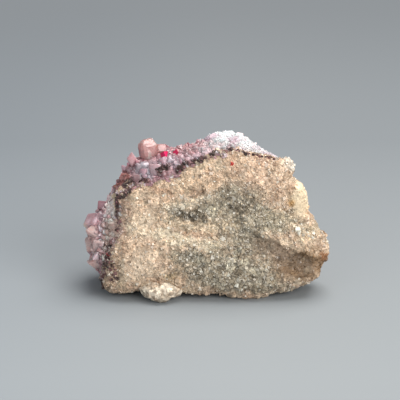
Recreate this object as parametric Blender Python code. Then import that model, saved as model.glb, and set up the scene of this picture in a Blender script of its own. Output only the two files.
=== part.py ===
"""Cobaltoan calcite: a hand specimen of pink calcite druse on a broken block of granular matrix.

Metres, +Z up. The specimen rests on the plane Z = 0. X runs along its length, and its broken face looks
towards -Y and leans back. The origin is at the bottom centre of its box.

Shapes are worked out in the face's own directions: u along the length, v up the face and w out of the face.
Outlines are read on a grid with 248 steps to the length, x to the right and y downwards.
"""

import math

import bmesh
import bpy
import numpy as np
from mathutils import Matrix, Vector, noise
from mathutils.bvhtree import BVHTree

# ---------------------------------------------------------------- driving dimensions
LENGTH = 0.0653  # left crystal point to right tip
GRID = LENGTH / 248.0
GRID_X0, GRID_Y0 = 205.0, 300.0  # the grid point at u = 0, v = 0
FACE_LEAN = math.radians(18.0)  # the broken face leans back by this much
CONTACT_W = 0.0048  # how far forward the nodule touches the ground
GAP = 0.0003  # clearance between pieces that touch

MATRIX_FRONT = 0.0080  # half depths of the block, in front of and behind its widest section
MATRIX_BACK = 0.0152
CRUST_PLANE = -0.0016  # widest section of the crust, behind that of the block
CRUST_FRONT = 0.0090
CRUST_BACK = 0.0175
BACK_AT_FOOT, BACK_AT_TOP = 1.18, 0.80  # the back half depth as a share, at the foot and at the top
GROUND_CLEARANCE = 0.0013  # how far the underside stays off the ground between its contacts

HEIGHT_V = 0.043  # height along the broken face

MATRIX_CELLS = 16
CRUST_CELLS = 12
CAP_CELLS = 7
NODULE_CELLS = 5

# ---------------------------------------------------------------- outlines on the grid
CENTRE = (210.0, 228.0)
MATRIX_OUTLINE = [
    (101, 276), (105.5, 254), (114, 230), (113.5, 198), (122, 187), (131, 181.5), (147, 178), (160, 171.5), (173, 170.5),
    (181, 163.5), (200.5, 154.5), (213, 150.5), (226, 149.5), (232, 147), (240, 149), (251, 152), (262, 155),
    (277, 158), (289, 160), (294, 166), (291, 176), (302, 183), (307, 192), (308, 211), (318, 230),
    (329, 244), (328, 254), (320, 266), (318, 275), (304, 285), (277, 293), (247, 299), (230, 297),
    (213, 293), (190, 293), (182, 291), (144, 289), (139, 291), (110, 291), (103, 285),
]
CRUST_OUTLINE = [
    (101, 273), (93, 260), (90, 243), (91, 230), (97, 216), (106, 204), (113, 192), (119, 182),
    (126, 173), (134, 164), (143, 159), (153, 155), (164, 151.5), (175, 149), (188, 146), (200, 143), (212, 141),
    (225, 143), (240, 148), (255, 154), (268, 162), (278, 176), (286, 196), (292, 216), (301, 240),
    (296, 260), (280, 274), (240, 281), (200, 280), (150, 279), (112, 280),
]
CAP_PLANE, CAP_FRONT, CAP_BACK = -0.0030, 0.0058, 0.0068
CAP_CENTRE = (234.0, 146.0)
CAP_OUTLINE = [
    (202, 144), (205, 138), (211, 134.5), (222, 132.5), (234, 133.5), (243, 136), (248, 140), (254, 145), (264, 149.5), (275, 155),
    (284, 159), (276, 161), (262, 160), (251, 158), (240, 157), (232, 156), (220, 157), (208, 155),
]
NODULE_CENTRE = (161.0, 291.5)
NODULE_OUTLINE = [
    (139, 287), (146, 283), (160, 282), (175, 284), (183, 289), (180, 294), (171, 297), (158, 300.6),
    (150, 298), (143, 293),
]


# ---------------------------------------------------------------- frame of the broken face
def to_world(uvw):
    """u, v, w to X, Y, Z."""
    u, v, w = uvw[..., 0], uvw[..., 1], uvw[..., 2]
    sin, cos = math.sin(FACE_LEAN), math.cos(FACE_LEAN)
    return np.stack([u, v * sin - w * cos, v * cos + (w - CONTACT_W) * sin], axis=-1)


def face_to_world_matrix():
    sin, cos = math.sin(FACE_LEAN), math.cos(FACE_LEAN)
    o = to_world(np.zeros(3))
    return Matrix(
        ((1, 0, 0, o[0]), (0, sin, -cos, o[1]), (0, cos, sin, o[2]), (0, 0, 0, 1))
    )


def on_grid(x, y):
    """A grid point as u, v."""
    return (x - GRID_X0) * GRID, (GRID_Y0 - y) * GRID


def ramp(value, low, high):
    t = np.clip((value - low) / (high - low), 0.0, 1.0)
    return t * t * (3.0 - 2.0 * t)


def bump(gx, gy, cx, cy, rx, ry):
    return np.exp(-((gx - cx) / rx) ** 2 - ((gy - cy) / ry) ** 2)


def outline_radius(outline, centre):
    """The outline as a radius, in metres, for each angle about its centre."""
    points = []
    for x, y in outline:
        dx, dy = (x - centre[0]) * GRID, (centre[1] - y) * GRID
        points.append((math.atan2(dy, dx) % math.tau, math.hypot(dx, dy)))
    points.sort()
    angles = np.array([p[0] for p in points])
    radii = np.array([p[1] for p in points])
    angles = np.concatenate([angles[-1:] - math.tau, angles, angles[:1] + math.tau])
    radii = np.concatenate([radii[-1:], radii, radii[:1]])
    return lambda theta: np.interp(np.mod(theta, math.tau), angles, radii)


def rough(points, scale, offset):
    """Smooth noise, about -1 to 1, for each point, with features of the size scale."""
    return np.array([noise.noise(Vector(p) / scale + offset) for p in points])


# Where the block's underside stands on the ground: X, Y, and the reach of each contact along X and Y.
CONTACTS = [(0.0112, -0.0022, 0.0055, 0.0030), (-0.0100, 0.0150, 0.0075, 0.0040), (0.0120, 0.0145, 0.0070, 0.0040)]


# ---------------------------------------------------------------- relief
def front_relief(gx, gy):
    """How far the broken face stands proud of a plain pillow shape, in metres."""
    out = -0.0009 * bump(gx, gy, 190, 211, 26, 14)
    out = out - 0.0009 * bump(gx, gy, 238, 199, 22, 14)
    out = out + 0.0005 * bump(gx, gy, 190, 243, 34, 6)
    out = out + 0.0017 * bump(gx, gy, 301, 196, 9, 17)
    out = out + 0.0006 * bump(gx, gy, 128, 240, 12, 25)
    crease = np.interp(gx, [232, 245, 256, 271, 290, 311, 326], [220, 226, 232, 239, 248, 256, 259])
    depth = 0.0021 * np.interp(gx, [234, 262, 300, 324], [0, 1, 1, 0.3])
    below = gy - crease
    scoop = depth * np.exp(-np.clip(below, 0, None) / 17.0) * (1 - np.exp(-np.clip(below, 0, None) / 3.2))
    return out - scoop + 0.22 * depth * np.exp(-np.abs(below - 1.0) / 9.0)


def underside(x, y):
    """Lowest height of the block over the ground: below zero where it makes contact."""
    lift = GROUND_CLEARANCE * np.ones_like(x)
    for cx, cy, rx, ry in CONTACTS:
        lift = lift - (GROUND_CLEARANCE + 0.0009) * np.exp(-(((x - cx) / rx) ** 2 + ((y - cy) / ry) ** 2) ** 2)
    return lift


def chip(uvw, centre, planes):
    """Flat broken facets: what lies past each plane is brought back to it."""
    for direction, share in planes:
        n = np.array(direction, dtype=float)
        n /= np.linalg.norm(n)
        height = (uvw - centre) @ n
        limit = share * height.max()
        over = np.clip(height - limit, 0.0, None)
        uvw = uvw - 0.9 * over[:, None] * n
    return uvw


MATRIX_CHIPS = [
    ((0.75, 0.25, -0.65), 0.80),
    ((0.55, -0.35, -0.75), 0.84),
    ((0.15, 0.55, -0.80), 0.86),
    ((-0.45, 0.30, -0.85), 0.88),
    ((0.10, -0.30, -0.95), 0.92),
    ((0.60, 0.75, -0.30), 0.93),
]


# ---------------------------------------------------------------- solids
def sphere_from_cube(cells):
    """A unit sphere made from a cube, with even cells."""
    bm = bmesh.new()
    bmesh.ops.create_cube(bm, size=2.0)
    bmesh.ops.subdivide_edges(bm, edges=bm.edges[:], cuts=cells - 1, use_grid_fill=True)
    for vert in bm.verts:
        p = Vector([math.tan(c * math.pi / 4) for c in vert.co])
        vert.co = p.normalized()
    return bm


def pillow(name, cells, outline, centre, plane, front, back, power, shape=None):
    """A closed form with the outline as its widest section and rounded depth on both sides."""
    bm = sphere_from_cube(cells)
    n = np.array([v.co[:] for v in bm.verts])
    flat = np.hypot(n[:, 0], n[:, 1])
    n = n / ((flat**power + np.abs(n[:, 2]) ** power) ** (1.0 / power))[:, None]
    flat = np.hypot(n[:, 0], n[:, 1])
    theta = np.arctan2(n[:, 1], n[:, 0])
    radius = outline_radius(outline, centre)(theta)
    u0, v0 = on_grid(*centre)
    u = u0 + flat * radius * np.cos(theta)
    v = v0 + flat * radius * np.sin(theta)
    wedge = BACK_AT_FOOT + (BACK_AT_TOP - BACK_AT_FOOT) * np.clip(v / HEIGHT_V, 0.0, 1.0)
    w = plane + np.where(n[:, 2] > 0, front, back * wedge) * n[:, 2]
    uvw = np.stack([u, v, w], axis=1)
    if shape:
        uvw = shape(uvw, n, flat)
    world = to_world(uvw)
    for vert, p in zip(bm.verts, world):
        vert.co = p
    return bm_to_object(bm, name)


def bm_to_object(bm, name):
    bmesh.ops.triangulate(bm, faces=bm.faces[:])
    bmesh.ops.recalc_face_normals(bm, faces=bm.faces[:])
    if bm.calc_volume(signed=True) < 0:
        bmesh.ops.reverse_faces(bm, faces=bm.faces[:])
    mesh = bpy.data.meshes.new(name)
    bm.to_mesh(mesh)
    bm.free()
    obj = bpy.data.objects.new(name, mesh)
    cutters.objects.link(obj)
    return obj


def matrix_shape(uvw, n, flat):
    gx = GRID_X0 + uvw[:, 0] / GRID
    gy = GRID_Y0 - uvw[:, 1] / GRID
    uvw = chip(uvw, uvw.mean(axis=0), MATRIX_CHIPS)
    facing = ramp(n[:, 2], 0.15, 0.75)
    uvw[:, 2] += facing * front_relief(gx, gy)
    behind = ramp(-n[:, 2], -0.3, 0.4)
    bumps = 0.0011 * rough(uvw, 0.013, Vector((3.1, 7.7, 1.3))) + 0.0004 * rough(uvw, 0.0045, Vector((9.1, 2.2, 5.3)))
    push = n * np.array([1, 1, 0.6])
    push /= np.linalg.norm(push, axis=1)[:, None]
    uvw = uvw + push * (bumps * (0.35 + 0.65 * np.maximum(behind, facing * 0.6)))[:, None]
    return keep_off_ground(uvw, underside)


def keep_off_ground(uvw, height):
    """Raises what would lie lower than height(x, y), straight up."""
    world = to_world(uvw)
    lift = np.clip(height(world[:, 0], world[:, 1]) - world[:, 2], 0.0, None)
    uvw = uvw.copy()
    uvw[:, 1] += lift * math.cos(FACE_LEAN)
    uvw[:, 2] += lift * math.sin(FACE_LEAN)
    return uvw


def crust_shape(uvw, n, flat):
    uvw = uvw.copy()
    uvw[:, 2] -= 0.0055 * ramp(0.78 - flat, 0.0, 0.5) * (n[:, 2] > 0)
    uvw = chip(uvw, uvw.mean(axis=0), [((-0.6, 0.2, -0.75), 0.86), ((0.5, 0.4, -0.75), 0.86), ((0.1, -0.6, -0.8), 0.86)])
    bumps = 0.0012 * rough(uvw, 0.0085, Vector((1.7, 4.4, 8.9))) + 0.0005 * rough(uvw, 0.0035, Vector((6.6, 0.3, 2.5)))
    uvw = uvw + n / np.linalg.norm(n, axis=1)[:, None] * (bumps * (0.4 + 0.6 * ramp(-n[:, 2], -0.4, 0.3)))[:, None]
    return keep_off_ground(uvw, lambda x, y: 0.0034 + 0.0008 * np.sin(x * 380.0) + 0.0 * y)


def cap_shape(uvw, n, flat):
    bumps = 0.0011 * rough(uvw, 0.0050, Vector((2.9, 3.8, 6.1))) + 0.0005 * rough(uvw, 0.0021, Vector((4.4, 1.2, 7.7)))
    taper = np.interp(GRID_X0 + uvw[:, 0] / GRID, [200, 245, 290], [1.0, 0.95, 0.45])
    uvw = uvw.copy()
    uvw[:, 2] = CAP_PLANE + (uvw[:, 2] - CAP_PLANE) * taper
    return uvw + n / np.linalg.norm(n, axis=1)[:, None] * (bumps * (0.35 + 0.65 * (1 - flat)))[:, None]


def nodule_shape(uvw, n, flat):
    bumps = 0.0004 * rough(uvw, 0.0040, Vector((7.3, 8.8, 0.4)))
    return uvw + n / np.linalg.norm(n, axis=1)[:, None] * bumps[:, None]


def grown(source, name, by):
    """A copy of a solid with its surface moved out."""
    bm = bmesh.new()
    bm.from_mesh(source.data)
    bm.normal_update()
    moves = [(v, v.normal.copy()) for v in bm.verts]
    for vert, normal in moves:
        vert.co += normal * by
    return bm_to_object(bm, name)


def rhomb(size, stretch, bevel=0.0, segments=1):
    """A calcite rhomb about the origin: a cube set on its corner and stretched along Z."""
    bm = bmesh.new()
    bmesh.ops.create_cube(bm, size=size)
    turn = Vector((1, 1, 1)).rotation_difference(Vector((0, 0, 1))).to_matrix()
    for vert in bm.verts:
        p = turn @ vert.co
        vert.co = Vector((p.x, p.y, p.z * stretch))
    if bevel:
        bmesh.ops.bevel(
            bm, geom=bm.edges[:], offset=bevel, offset_type="OFFSET", segments=segments, profile=0.6, affect="EDGES", clamp_overlap=True
        )
    return bm


def worn_block(cells, width, depth, height, power, foot, skew):
    """A worn calcite block about the origin: rounded edges, narrower at its foot, its top sloping by the skew."""
    bm = sphere_from_cube(cells)
    for vert in bm.verts:
        x, y, z = vert.co
        r = (abs(x) ** power + abs(y) ** power + abs(z) ** power) ** (1.0 / power)
        x, y, z = x / r, y / r, z / r
        narrow = foot + (1.0 - foot) * (0.5 + 0.5 * z) ** 0.8
        vert.co = Vector((x * width / 2 * narrow, y * depth / 2 * narrow, z * height / 2 + skew * x * width / 2))
    return bm


def aim(direction, roll):
    """A rotation that turns Z to the direction, with a turn about it."""
    turn = Vector((0, 0, 1)).rotation_difference(Vector(direction).normalized()).to_matrix()
    return turn @ Matrix.Rotation(roll, 3, "Z")


def place(bm, name, centre, direction, roll):
    turn = aim(direction, roll)
    for vert in bm.verts:
        vert.co = turn @ vert.co + Vector(centre)
    return bm_to_object(bm, name)


def flatten(obj, cuts):
    """Broken corners of a crystal: what lies past each plane, set out in the face's directions, is brought back."""
    points = np.array([v.co[:] for v in obj.data.vertices])
    centre = points.mean(axis=0)
    turn = face_to_world_matrix().to_3x3()
    for direction, share in cuts:
        n = np.array((turn @ Vector(direction)).normalized())
        height = (points - centre) @ n
        over = np.clip(height - share * height.max(), 0.0, None)
        points = points - 0.92 * over[:, None] * n
    for vert, p in zip(obj.data.vertices, points):
        vert.co = p


def boolean(obj, other, operation, use_self=False):
    mod = obj.modifiers.new(operation.lower(), "BOOLEAN")
    mod.operation = operation
    mod.solver = "EXACT"
    mod.use_self = use_self
    mod.object = other
    mesh = bpy.data.meshes.new_from_object(obj.evaluated_get(bpy.context.evaluated_depsgraph_get()))
    obj.modifiers.clear()
    old = obj.data
    obj.data = mesh
    bpy.data.meshes.remove(old)


def keep_largest(obj):
    """Drops the crumbs that a cut leaves, so that one body is left."""
    bm = bmesh.new()
    bm.from_mesh(obj.data)
    seen, best = set(), []
    for face in bm.faces:
        if face in seen:
            continue
        island, queue = [], [face]
        seen.add(face)
        while queue:
            f = queue.pop()
            island.append(f)
            for edge in f.edges:
                for g in edge.link_faces:
                    if g not in seen:
                        seen.add(g)
                        queue.append(g)
        if sum(f.calc_area() for f in island) > sum(f.calc_area() for f in best):
            best = island
    keep = set(best)
    bmesh.ops.delete(bm, geom=[f for f in bm.faces if f not in keep], context="FACES")
    bm.to_mesh(obj.data)
    bm.free()


def surface_at(solids, gx, gy):
    """The front point of the solids at a grid point, and the outward normal there."""
    u, v = on_grid(gx, gy)
    start = Vector(to_world(np.array([u, v, 0.06])))
    inward = (Vector(to_world(np.array([u, v, 0.0]))) - start).normalized()
    hits = []
    for solid in solids:
        tree = BVHTree.FromObject(solid, bpy.context.evaluated_depsgraph_get())
        point, normal, _, distance = tree.ray_cast(start, inward)
        if point is not None:
            hits.append((distance, point, normal))
    return min(hits, key=lambda h: h[0])[1:]


def principled(name, colour, roughness, transmission=0.0):
    mat = bpy.data.materials.new(name)
    mat.use_nodes = True
    shader = mat.node_tree.nodes["Principled BSDF"]
    shader.inputs["Base Color"].default_value = (*colour, 1.0)
    shader.inputs["Roughness"].default_value = roughness
    shader.inputs["Metallic"].default_value = 0.0
    shader.inputs["Transmission Weight"].default_value = transmission
    shader.inputs["IOR"].default_value = 1.6
    mat.diffuse_color = (*colour, 1.0)
    return mat


def finish(obj, name, mat, smooth_angle=None):
    cutters.objects.unlink(obj)
    parts.objects.link(obj)
    obj.name = name
    obj.data.name = name
    obj.data.materials.clear()
    obj.data.materials.append(mat)
    if smooth_angle is not None:
        obj.data.shade_smooth()
        obj.data.set_sharp_from_angle(angle=math.radians(smooth_angle))
    return obj


# ================================================================ the model
for old in list(bpy.data.objects):
    bpy.data.objects.remove(old, do_unlink=True)
parts = bpy.data.collections.new("cobaltoan_calcite")
cutters = bpy.data.collections.new("cutters")
bpy.context.scene.collection.children.link(parts)
bpy.context.scene.collection.children.link(cutters)

# Ground plane cutter: everything under Z = 0 is taken off, which leaves the flat contacts.
bm = bmesh.new()
bmesh.ops.create_cube(bm, size=1.0)
for vert in bm.verts:
    vert.co = Vector((vert.co.x * 0.2, vert.co.y * 0.2, vert.co.z * 0.02 - 0.01))
ground = bm_to_object(bm, "ground_cutter")

# The block of matrix, and the same block grown by the clearance, which cuts its neighbours.
matrix = pillow("matrix_body", MATRIX_CELLS, MATRIX_OUTLINE, CENTRE, 0.0, MATRIX_FRONT, MATRIX_BACK, 4.0, matrix_shape)
matrix_seat = grown(matrix, "matrix_seat", GAP * 1.25)

# The crust: a pillow that stands out of the block along its upper left edge, its top and its back.
crust = pillow("crust_body", CRUST_CELLS, CRUST_OUTLINE, CENTRE, CRUST_PLANE, CRUST_FRONT, CRUST_BACK, 3.4, crust_shape)

# Crystals intergrown with the crust. Those that show along the edge: grid point, w, size, stretch.
EDGE_CRYSTALS = [
    (134.8, 161.2, 0.0003, 0.0032, 1.45), (127, 174, 0.0006, 0.0026, 1.2), (120.5, 182, 0.0010, 0.0022, 1.2),
    (116.5, 188, 0.0014, 0.0021, 1.1), (113.5, 197, 0.0006, 0.0021, 1.2), (92.5, 241, 0.0000, 0.0031, 1.0),
    (92.5, 252, 0.0004, 0.0029, 1.1), (95, 260.5, 0.0006, 0.0026, 1.0), (102, 269, 0.0014, 0.0023, 1.0),
    (103, 238, 0.0030, 0.0027, 1.0), (106, 250, 0.0036, 0.0022, 1.0), (170, 153.5, 0.0012, 0.0027, 1.1),
    (180, 150, 0.0004, 0.0027, 1.1), (189, 147.5, 0.0002, 0.0026, 1.2), (198, 145.5, 0.0000, 0.0025, 1.1),
    (160.0, 154.0, 0.0012, 0.0033, 1.0), (145, 167, 0.0040, 0.0028, 1.0), (155, 166, 0.0040, 0.0025, 1.1),
    (140, 167, 0.0030, 0.0021, 1.0), (129, 182, 0.0034, 0.0019, 1.2), (101, 230, 0.0016, 0.0032, 1.0),
    (110, 214, 0.0028, 0.0022, 1.0),
]
edge_directions = [(-0.7, 0.6, 0.3), (-0.5, 0.8, 0.4), (-0.9, 0.3, 0.2), (-0.2, 0.95, 0.3), (0.2, 0.9, 0.2)]
pieces = []
for i, (gx, gy, w, size, stretch) in enumerate(EDGE_CRYSTALS):
    u, v = on_grid(gx, gy)
    out = np.array([gx - CENTRE[0], CENTRE[1] - gy]) / math.hypot(gx - CENTRE[0], CENTRE[1] - gy)
    lean = edge_directions[i % len(edge_directions)]
    direction = face_to_world_matrix().to_3x3() @ Vector((out[0] + 0.4 * lean[0], out[1] + 0.4 * lean[1], 0.4 * lean[2]))
    pieces.append(place(rhomb(size * 0.66, stretch), f"edge_{i}", to_world(np.array([u, v, w])), direction, i * 1.9))

# Crystals over the hidden side, spread by the golden angle over the back of the crust.
bm = bmesh.new()
bm.from_mesh(crust.data)
bm.normal_update()
crust_tree = BVHTree.FromBMesh(bm)
bm.free()
heart = Vector(to_world(np.array([*on_grid(200, 225), -0.004])))
BACK_CRYSTALS = 56
for i in range(BACK_CRYSTALS):
    t = (i + 0.5) / BACK_CRYSTALS
    spread = math.sqrt(t)
    angle = i * math.pi * (3.0 - math.sqrt(5.0))
    ray = Vector((spread * 2.0 * math.cos(angle) - 0.25, 0.62, spread * math.sin(angle) * 0.95 + 0.15)).normalized()
    point, normal, _, _ = crust_tree.ray_cast(heart, ray)
    if point is None or point.z < 0.0065:
        continue
    size = 0.0030 + 0.0026 * (0.5 + 0.5 * math.sin(i * 2.4))
    direction = normal + 0.35 * Vector((math.sin(i * 3.7), math.cos(i * 1.3), math.sin(i * 5.1)))
    pieces.append(place(rhomb(size * 0.68, 1.15 + 0.25 * math.sin(i * 1.1)), f"back_{i}", point - normal * size * 0.12, direction, i * 2.6))

bpy.ops.object.select_all(action="DESELECT")
for piece in pieces:
    piece.select_set(True)
bpy.context.view_layer.objects.active = pieces[0]
bpy.ops.object.join()
crystals = pieces[0]
crystals.name = "crust_crystals"
boolean(crust, crystals, "UNION", use_self=True)

# Separate crystals that stand out of the crust.
peach = place(
    worn_block(5, 0.0058, 0.0052, 0.0074, 4.2, 0.62, 0.06), "peach", to_world(np.array([*on_grid(149.0, 152.5), 0.0012])),
    face_to_world_matrix().to_3x3() @ Vector((-0.10, 1.0, 0.12)), 0.43,
)
flatten(peach, [((0.80, 0.60, 0.0), 0.74), ((-0.75, 0.62, 0.25), 0.88), ((0.15, 0.75, 0.65), 0.82)])
rose = place(
    rhomb(0.0023, 1.10, 0.0004, 2), "rose", to_world(np.array([*on_grid(102.5, 206.0), 0.0003])),
    face_to_world_matrix().to_3x3() @ Vector((-0.65, 0.75, 0.35)), 0.97,
)
corner = place(
    rhomb(0.0040, 1.02, 0.0006, 2), "corner", to_world(np.array([*on_grid(94.5, 223.0), 0.0010])),
    face_to_world_matrix().to_3x3() @ Vector((-0.95, -0.18, 0.30)), 0.35,
)
for piece in (peach, rose, corner):
    seat = grown(piece, piece.name + "_seat", GAP * 1.1)
    boolean(crust, seat, "DIFFERENCE")
    if piece is corner:
        boolean(rose, seat, "DIFFERENCE")

# White calcite over the top.
cap = pillow("cap_body", CAP_CELLS, CAP_OUTLINE, CAP_CENTRE, CAP_PLANE, CAP_FRONT, CAP_BACK, 2.6, cap_shape)
cap_seat = grown(cap, "cap_seat", GAP * 1.1)
boolean(crust, cap_seat, "DIFFERENCE")
boolean(crust, matrix_seat, "DIFFERENCE")
keep_largest(crust)
boolean(cap, matrix_seat, "DIFFERENCE")
keep_largest(cap)

# The pale nodule under the front left, cut to the block and flat where it stands.
nodule = pillow(
    "nodule_body", NODULE_CELLS, NODULE_OUTLINE, NODULE_CENTRE, CONTACT_W - 0.0004, 0.0042, 0.0058, 2.5, nodule_shape
)
boolean(nodule, matrix_seat, "DIFFERENCE")
boolean(nodule, ground, "DIFFERENCE")
keep_largest(nodule)
boolean(matrix, ground, "DIFFERENCE")

# Magenta crystals in the crust and red grains in the block, each sunk in its own seat.
SMALL = [
    ("magenta_crystal_large", 165.0, 156.0, 0.0014, 1.15, 0.0003),
    ("magenta_crystal_small", 176.0, 153.0, 0.0011, 1.2, 0.0002),
    ("red_grain_upper", 231.0, 164.5, 0.0008, 1.1, 0.0001),
    ("red_grain_left", 109.5, 254.0, 0.0009, 1.1, 0.0001),
]
small = []
for i, (name, gx, gy, size, stretch, proud) in enumerate(SMALL):
    point, normal = surface_at((crust, matrix), gx, gy)
    piece = place(rhomb(size, stretch), name + "_body", point + normal * proud, normal + Vector((0.2, -0.3, 0.1)), 0.7 * i)
    seat = grown(piece, name + "_seat", GAP)
    for host in (crust, matrix):
        boolean(host, seat, "DIFFERENCE")
    small.append((name, piece))
keep_largest(crust)
keep_largest(matrix)

# ---------------------------------------------------------------- materials and names
finish(matrix, "matrix", principled("granular_matrix", (0.42, 0.35, 0.26), 0.85))
finish(crust, "pink_druse", principled("cobaltoan_calcite", (0.55, 0.28, 0.32), 0.35, 0.2))
finish(cap, "white_calcite_cap", principled("white_calcite", (0.80, 0.74, 0.73), 0.55))
finish(nodule, "basal_nodule", principled("cream_calcite", (0.72, 0.60, 0.46), 0.75))
finish(peach, "peach_crystal", principled("peach_calcite", (0.62, 0.33, 0.31), 0.15, 0.6), 40)
finish(rose, "rose_crystal", principled("rose_calcite", (0.45, 0.14, 0.20), 0.2, 0.4), 40)
finish(corner, "corner_crystal", principled("pale_pink_calcite", (0.66, 0.38, 0.40), 0.2, 0.5), 40)
magenta = principled("magenta_calcite", (0.62, 0.02, 0.14), 0.2, 0.3)
red = principled("red_calcite", (0.45, 0.03, 0.05), 0.35, 0.1)
for name, piece in small:
    finish(piece, name, magenta if name.startswith("magenta") else red)

# The origin goes to the bottom centre of the box.
corners = np.array([v.co[:] for obj in parts.objects for v in obj.data.vertices])
middle = (corners.min(axis=0) + corners.max(axis=0)) / 2
shift = Matrix.Translation((-middle[0], -middle[1], -corners[:, 2].min()))
for obj in parts.objects:
    obj.data.transform(shift)

# The scratch solids are guides only.
for obj in cutters.objects:
    obj.hide_render = True
    obj.display_type = "WIRE"
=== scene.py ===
"""Cobaltoan calcite on matrix: the visible surfaces of the specimen, its stage, lights and camera.

The forms are the ones of the solids (the same outlines, depths and relief, worked out again here with finer
cells), with the grain of the rock and the small crystals of the druse added as meshes.
"""

import math

import bmesh
import bpy
import numpy as np
from mathutils import Matrix, Vector, noise
from mathutils.bvhtree import BVHTree


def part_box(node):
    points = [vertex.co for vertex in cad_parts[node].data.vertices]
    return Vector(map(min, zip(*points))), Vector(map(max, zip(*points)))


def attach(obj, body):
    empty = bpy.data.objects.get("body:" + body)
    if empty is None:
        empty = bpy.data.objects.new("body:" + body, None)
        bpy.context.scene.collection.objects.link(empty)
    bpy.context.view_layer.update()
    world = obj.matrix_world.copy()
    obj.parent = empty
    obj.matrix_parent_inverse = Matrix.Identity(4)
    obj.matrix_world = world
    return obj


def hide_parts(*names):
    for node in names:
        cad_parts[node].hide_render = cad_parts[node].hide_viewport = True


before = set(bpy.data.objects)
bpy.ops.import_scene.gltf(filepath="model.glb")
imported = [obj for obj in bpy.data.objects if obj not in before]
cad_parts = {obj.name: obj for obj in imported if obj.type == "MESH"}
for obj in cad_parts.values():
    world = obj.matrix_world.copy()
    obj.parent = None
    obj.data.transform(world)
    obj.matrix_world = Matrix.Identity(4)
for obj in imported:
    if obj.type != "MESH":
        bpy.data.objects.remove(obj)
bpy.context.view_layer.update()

# ---------------------------------------------------------------- dimensions shared with the solids
LENGTH = 0.0653
GRID = LENGTH / 248.0
GRID_X0, GRID_Y0 = 205.0, 300.0
FACE_LEAN = math.radians(18.0)
CONTACT_W = 0.0048
MATRIX_FRONT, MATRIX_BACK = 0.0080, 0.0152
CRUST_PLANE, CRUST_FRONT, CRUST_BACK = -0.0016, 0.0090, 0.0175
BACK_AT_FOOT, BACK_AT_TOP = 1.18, 0.80
GROUND_CLEARANCE = 0.0013
HEIGHT_V = 0.043
CENTRE = (210.0, 228.0)
MATRIX_OUTLINE = [
    (101, 276), (105.5, 254), (114, 230), (113.5, 198), (122, 187), (131, 181.5), (147, 178), (160, 171.5), (173, 170.5),
    (181, 163.5), (200.5, 154.5), (213, 150.5), (226, 149.5), (232, 147), (240, 149), (251, 152), (262, 155),
    (277, 158), (289, 160), (294, 166), (291, 176), (302, 183), (307, 192), (308, 211), (318, 230),
    (329, 244), (328, 254), (320, 266), (318, 275), (304, 285), (277, 293), (247, 299), (230, 297),
    (213, 293), (190, 293), (182, 291), (144, 289), (139, 291), (110, 291), (103, 285),
]
CRUST_OUTLINE = [
    (101, 273), (93, 260), (90, 243), (91, 230), (97, 216), (106, 204), (113, 192), (119, 182),
    (126, 173), (134, 164), (143, 159), (153, 155), (164, 151.5), (175, 149), (188, 146), (200, 143), (212, 141),
    (225, 143), (240, 148), (255, 154), (268, 162), (278, 176), (286, 196), (292, 216), (301, 240),
    (296, 260), (280, 274), (240, 281), (200, 280), (150, 279), (112, 280),
]
CAP_PLANE, CAP_FRONT, CAP_BACK = -0.0030, 0.0058, 0.0068
CAP_CENTRE = (234.0, 146.0)
CAP_OUTLINE = [
    (202, 144), (205, 138), (211, 134.5), (222, 132.5), (234, 133.5), (243, 136), (248, 140), (254, 145), (264, 149.5), (275, 155),
    (284, 159), (276, 161), (262, 160), (251, 158), (240, 157), (232, 156), (220, 157), (208, 155),
]
NODULE_CENTRE = (161.0, 291.5)
NODULE_OUTLINE = [
    (139, 287), (146, 283), (160, 282), (175, 284), (183, 289), (180, 294), (171, 297), (158, 300.6),
    (150, 298), (143, 293),
]
CONTACTS = [(0.0112, -0.0022, 0.0055, 0.0030), (-0.0100, 0.0150, 0.0075, 0.0040), (0.0120, 0.0145, 0.0070, 0.0040)]
MATRIX_CHIPS = [
    ((0.75, 0.25, -0.65), 0.80),
    ((0.55, -0.35, -0.75), 0.84),
    ((0.15, 0.55, -0.80), 0.86),
    ((-0.45, 0.30, -0.85), 0.88),
    ((0.10, -0.30, -0.95), 0.92),
    ((0.60, 0.75, -0.30), 0.93),
]
SEAM = [
    (101, 275), (106, 262), (110, 252), (117, 232), (118, 215), (118, 199), (127, 190), (135, 184), (150, 181), (163, 175),
    (175, 174), (182, 167), (201, 158.5), (213, 154.5), (226, 153), (232, 150), (240, 152), (251, 155), (262, 158), (277, 160),
]
SIN, COS = math.sin(FACE_LEAN), math.cos(FACE_LEAN)
SHIFT = np.zeros(3)


# ---------------------------------------------------------------- small mathematics
def to_world(uvw):
    u, v, w = uvw[..., 0], uvw[..., 1], uvw[..., 2]
    return np.stack([u, v * SIN - w * COS, v * COS + (w - CONTACT_W) * SIN], axis=-1) - SHIFT


def to_face(world):
    """World points back to u, v, w."""
    p = world + SHIFT
    z = p[..., 2] + CONTACT_W * SIN
    return np.stack([p[..., 0], p[..., 1] * SIN + z * COS, -p[..., 1] * COS + z * SIN], axis=-1)


def face_vector(u, v, w):
    return np.array([u, v * SIN - w * COS, v * COS + w * SIN])


def on_grid(x, y):
    return (x - GRID_X0) * GRID, (GRID_Y0 - y) * GRID


def grid_of(world):
    uvw = to_face(world)
    return GRID_X0 + uvw[..., 0] / GRID, GRID_Y0 - uvw[..., 1] / GRID, uvw[..., 2]


def ramp(value, low, high):
    t = np.clip((value - low) / (high - low), 0.0, 1.0)
    return t * t * (3.0 - 2.0 * t)


def bump(gx, gy, cx, cy, rx, ry):
    return np.exp(-((gx - cx) / rx) ** 2 - ((gy - cy) / ry) ** 2)


def unit(v):
    return v / np.maximum(np.linalg.norm(v, axis=-1, keepdims=True), 1e-12)


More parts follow.
